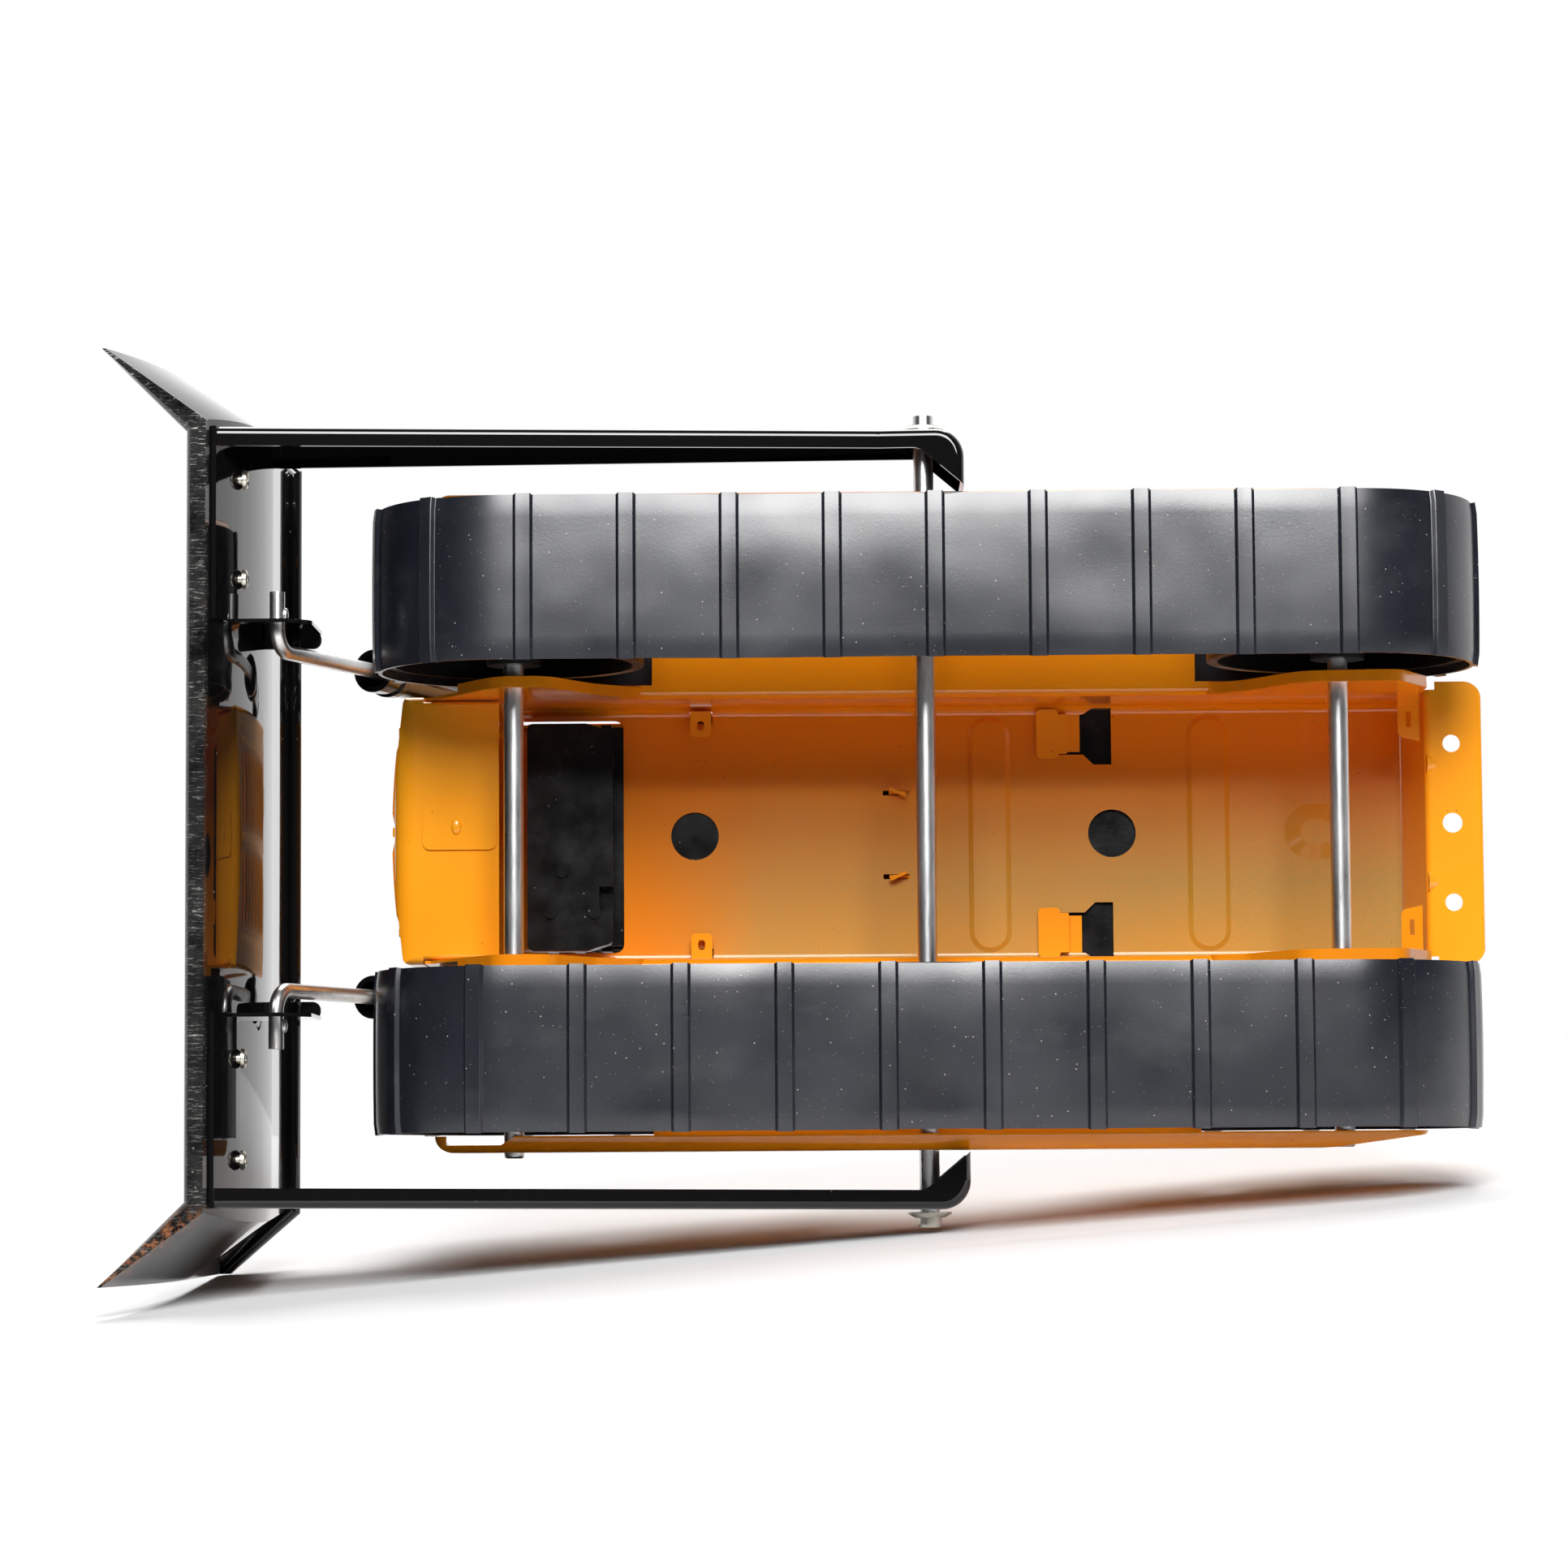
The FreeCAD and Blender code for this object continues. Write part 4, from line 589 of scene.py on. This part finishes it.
def make_gauges():
    """Three plain round gauges on the sloping dash: rims, dark dials, pale marks."""
    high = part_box("instrument_cowl")[1]
    middle = Vector((0, high[1] - GAUGE_FROM_REAR, high[2] - GAUGE_FROM_TOP))
    rims, dials, marks = bmesh.new(), bmesh.new(), bmesh.new()
    for x, radius in GAUGES:
        at = middle + Vector((x * MM, 0, 0))
        face = at + DASH_NORMAL * DIAL_TOP
        rim = [(radius, -0.6), (radius, 1.3), (radius - 0.4, 1.7), (radius - 1.0, 1.6),
               (radius - 1.3, 0.6), (radius - 1.3, -0.6)]
        dial = [(0.1, -0.4), (radius - 1.1, -0.4), (radius - 1.1, 0.75), (radius * 0.4, 0.85),
                (0.1, 0.9)]
        lathe(rims, millimetres(rim), at, DASH_NORMAL, steps=40)
        lathe(dials, millimetres(dial), at, DASH_NORMAL, steps=40)
        for i in range(DIAL_MARKS):
            angle = radians(-120 + 30 * i)
            outwards = DASH_DOWN * -cos(angle) + Vector((1, 0, 0)) * sin(angle)
            add_bar(marks, face, outwards, DASH_NORMAL, (radius - 2.9) * MM, (radius - 1.7) * MM,
                    0.35 * MM)
        needle = (DASH_DOWN * -0.6 + Vector((0.8, 0, 0))).normalized()
        add_bar(marks, face + DASH_NORMAL * 0.2 * MM, needle, DASH_NORMAL, -1.2 * MM,
                (radius - 2.6) * MM, 0.45 * MM)
    placed(rims, "dash_gauge_rims", "fastener", "chassis")
    placed(dials, "dash_gauge_dials", "moulding", "chassis")
    placed(marks, "dash_gauge_marks", "lift_rod", "chassis")


def add_bar(bm, at, along, normal, start, end, width):
    """Thin raised bar with bevelled top edges, from start to end along a direction."""
    across = along.cross(normal).normalized()
    rings = []
    for reach in (start, end):
        ring = []
        for side, height in ((-1.0, -0.2), (-1.0, 0.15), (-0.6, 0.3), (0.6, 0.3), (1.0, 0.15),
                             (1.0, -0.2)):
            ring.append(bm.verts.new(at + along * reach + across * side * width / 2
                                     + normal * height * MM))
        rings.append(ring)
    skin(bm, rings, caps=True)


def add_pleats(bm, corner, across, along, normal):
    """Padded panel of rounded pleats that run along one direction."""
    count = PLEATS * PLEAT_SAMPLES
    rings = []
    for step in range(PLEAT_STEPS + 1):
        share = step / PLEAT_STEPS
        swell = min(1.0, sin(pi * share) * 2.2 + 0.12)
        ring = []
        for i in range(count + 1):
            bulge = abs(sin(pi * i / PLEAT_SAMPLES)) ** 0.55
            edge = min(1.0, 0.25 + min(i, count - i) / 6)
            height = (PLEAT_BASE + PLEAT_SWELL * bulge * swell) * edge * MM
            ring.append(bm.verts.new(corner + across * (i / count) + along * share
                                     + normal * height))
        ring.append(bm.verts.new(corner + across + along * share - normal * MM))
        ring.append(bm.verts.new(corner + along * share - normal * MM))
        rings.append(ring)
    skin(bm, rings, caps=True)


def make_seat_pleats():
    """Moulded pleats on the cushion and the front of the backrest."""
    low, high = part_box("seat")
    width = Vector((2 * PAD_HALF_WIDTH, 0, 0))
    cushion = Vector((-PAD_HALF_WIDTH, low[1] + CUSHION_FROM_FRONT, low[2] + CUSHION_HEIGHT))
    foot = Vector((-PAD_HALF_WIDTH, high[1] - BACKREST_FROM_REAR, low[2] + BACKREST_FOOT))
    lean = Vector((0, 10.0, 46.0)).normalized()
    facing = Vector((0, -46.0, 10.0)).normalized()
    bm = bmesh.new()
    add_pleats(bm, cushion, width, Vector((0, CUSHION_LENGTH, 0)), Vector((0, 0, 1)))
    add_pleats(bm, foot, width, lean * BACKREST_LENGTH, facing)
    placed(bm, "seat_pleats", "moulding", "chassis", radians(60))


def make_lever_boots():
    """Rubber bellows where the two levers come through the dash."""
    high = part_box("instrument_cowl")[1]
    folds = [(5.6, -4.0), (5.6, 0.6)]
    for i in range(BOOT_FOLDS):
        folds += [(5.2 - i * 0.75, 1.4 + i * 2.0), (3.9 - i * 0.5, 2.4 + i * 2.0)]
    folds += [(2.3, 9.6), (1.5, 9.9)]
    bm = bmesh.new()
    for side in (-1, 1):
        at = (side * BOOT_X, high[1] - BOOT_FROM_REAR, high[2] - BOOT_FROM_TOP)
        lathe(bm, millimetres(folds), at, (0, 6, 58), steps=32)
    placed(bm, "lever_boots", "wheel", "chassis", radians(50))


def make_tank_cap():
    """Knurled rim round the filler cap."""
    low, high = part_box("fuel_tank")
    at = (TANK_CAP_X, (low[1] + high[1]) / 2, high[2])
    knurl = [(0.1, -4.4), (6.9, -4.4), (7.25, -4.0), (7.25, -0.6), (6.8, 0.1), (5.4, 0.35),
             (4.9, 0.12), (0.1, 0.2)]
    bm = bmesh.new()
    lathe(bm, millimetres(knurl), at, (0, 0, 1), steps=96, ripple=0.022, ripples=24)
    placed(bm, "tank_cap", "fastener", "chassis", radians(50))


make_rivets()
make_louvres()
make_hood_bolts()
make_gauges()
make_seat_pleats()
make_lever_boots()
make_tank_cap()


# --- stage ----------------------------------------------------------------------------------
DIFFUSE_SHARE = 0.12           # of the world's brightness that lights matt surfaces
FLOOR_GAP = 0.0004             # between the toy's lowest points and the floor it lies on
LEAN_ALONG = 0.0817            # slope of that floor against the toy's length
LEAN_UP = 0.0859               # and against its height: the camera looks along the floor
FLOOR_Z = (-0.85, -0.30, 0.62)  # its strips' ends; the one nearest the camera lights nothing
FLOOR_REACH = 2.6              # half of that floor's length
STANDING_REACH = 3.0           # half of the side of the floor under the tracks
STANDING_GLOW = 0.55
# how the world's brightness grows with the height of the direction, from -1 to 1
WORLD_FADE = {"From Min": -0.25, "From Max": 0.45, "To Min": 0.05, "To Max": 1.0}


def one_sided(name, glow=0.0):
    """Pale floor material that is clear from behind; a glow keeps shadows on it light."""
    material = bpy.data.materials.new(name)
    material.use_nodes = True
    tree = material.node_tree
    shader = tree.nodes["Principled BSDF"]
    shader.inputs["Base Color"].default_value = (0.90, 0.90, 0.90, 1)
    shader.inputs["Roughness"].default_value = 0.9
    shader.inputs["Specular IOR Level"].default_value = 0.0
    shader.inputs["Emission Color"].default_value = (1, 1, 1, 1)
    shader.inputs["Emission Strength"].default_value = glow
    clear = tree.nodes.new("ShaderNodeBsdfTransparent")
    side = tree.nodes.new("ShaderNodeNewGeometry")
    mix = tree.nodes.new("ShaderNodeMixShader")
    tree.links.new(side.outputs["Backfacing"], mix.inputs["Fac"])
    tree.links.new(shader.outputs["BSDF"], mix.inputs[1])
    tree.links.new(clear.outputs["BSDF"], mix.inputs[2])
    tree.links.new(mix.outputs["Shader"], tree.nodes["Material Output"].inputs["Surface"])
    return material


def plane(name, centre, side_a, side_b, material):
    """Rectangle whose front faces side_a cross side_b."""
    centre, side_a, side_b = Vector(centre), Vector(side_a), Vector(side_b)
    corners = [centre - side_a - side_b, centre + side_a - side_b, centre + side_a + side_b,
               centre - side_a + side_b]
    mesh = bpy.data.meshes.new(name)
    mesh.from_pydata(corners, [], [(0, 1, 2, 3)])
    mesh.materials.append(material)
    made = bpy.data.objects.new(name, mesh)
    bpy.context.scene.collection.objects.link(made)
    return made


def lowest_along(normal):
    """How far the toy reaches against the normal, over every CAD node's vertices."""
    return min(normal.dot(vertex.co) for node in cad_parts.values()
               for vertex in node.data.vertices)


def make_stage():
    """The level floor that the toy lies on, touching wing and push cap, and one to stand on."""
    normal = Vector((1, -LEAN_ALONG, -LEAN_UP)).normalized()
    nearest = normal * (lowest_along(normal) - FLOOR_GAP)
    along = Vector((LEAN_ALONG, 1, 0))
    up = normal.cross(along)
    material = one_sided("lying_floor")
    strips = [plane("lying_floor_%d" % i, nearest + up * (start + end) / 2, along * FLOOR_REACH,
                    up * (end - start) / 2, material)
              for i, (start, end) in enumerate(zip(FLOOR_Z, FLOOR_Z[1:]))]
    strips[0].visible_diffuse = False
    standing = plane("standing_floor", (0, 0, -FLOOR_GAP), (STANDING_REACH, 0, 0),
                     (0, STANDING_REACH, 0), one_sided("standing_floor", STANDING_GLOW))
    standing.visible_diffuse = False
    standing.visible_glossy = False
    standing.visible_transmission = False
    standing.visible_shadow = False


def area_light(name, at, towards, size, power):
    lamp = bpy.data.lights.new(name, "AREA")
    lamp.shape = "RECTANGLE"
    lamp.size, lamp.size_y = size
    lamp.energy = power
    made = bpy.data.objects.new(name, lamp)
    made.location = at
    made.rotation_mode = "QUATERNION"
    made.rotation_quaternion = (Vector(towards) - Vector(at)).to_track_quat("-Z", "Y")
    made.visible_camera = False
    bpy.context.scene.collection.objects.link(made)


def make_world():
    """White to the camera; in reflections bright above and dim below, and faint on matt surfaces."""
    world = bpy.data.worlds.new("studio")
    bpy.context.scene.world = world
    world.use_nodes = True
    tree = world.node_tree
    lit = tree.nodes["Background"]
    lit.inputs["Color"].default_value = (1.0, 1.0, 1.0, 1.0)
    seen = tree.nodes.new("ShaderNodeBackground")
    seen.inputs["Color"].default_value = (1.0, 1.0, 1.0, 1.0)
    place = tree.nodes.new("ShaderNodeTexCoord")
    split = tree.nodes.new("ShaderNodeSeparateXYZ")
    fade = tree.nodes.new("ShaderNodeMapRange")
    for name, value in WORLD_FADE.items():
        fade.inputs[name].default_value = value
    rays = tree.nodes.new("ShaderNodeLightPath")
    share = tree.nodes.new("ShaderNodeMapRange")
    share.inputs["To Min"].default_value = DIFFUSE_SHARE
    strength = tree.nodes.new("ShaderNodeMath")
    strength.operation = "MULTIPLY"
    mix = tree.nodes.new("ShaderNodeMixShader")
    tree.links.new(place.outputs["Generated"], split.inputs["Vector"])
    tree.links.new(split.outputs["Z"], fade.inputs["Value"])
    tree.links.new(rays.outputs["Is Glossy Ray"], share.inputs["Value"])
    tree.links.new(fade.outputs["Result"], strength.inputs[0])
    tree.links.new(share.outputs["Result"], strength.inputs[1])
    tree.links.new(strength.outputs["Value"], lit.inputs["Strength"])
    tree.links.new(rays.outputs["Is Camera Ray"], mix.inputs["Fac"])
    tree.links.new(lit.outputs["Background"], mix.inputs[1])
    tree.links.new(seen.outputs["Background"], mix.inputs[2])
    tree.links.new(mix.outputs["Shader"], tree.nodes["World Output"].inputs["Surface"])


def make_lights():
    make_world()
    middle = (0, 0, 0.05)
    area_light("key_softbox", (0.80, 0.05, -1.37), middle, (0.92, 0.8), 38)
    area_light("top_softbox", (1.20, 0.0, 0.55), middle, (1.0, 1.0), 22)


def make_camera():
    data = bpy.data.cameras.new("camera")
    data.lens = CAMERA_LENS
    data.sensor_width = SENSOR
    data.clip_start = 0.01
    made = bpy.data.objects.new("camera", data)
    back = -CAMERA_FORWARD.normalized()
    right = CAMERA_UP.cross(back).normalized()
    up = back.cross(right)
    made.matrix_world = Matrix((
        (right.x, up.x, back.x, CAMERA_AT.x),
        (right.y, up.y, back.y, CAMERA_AT.y),
        (right.z, up.z, back.z, CAMERA_AT.z),
        (0, 0, 0, 1)))
    bpy.context.scene.collection.objects.link(made)
    bpy.context.scene.camera = made


bpy.context.scene.view_settings.view_transform = "Standard"
make_stage()
make_lights()
make_camera()
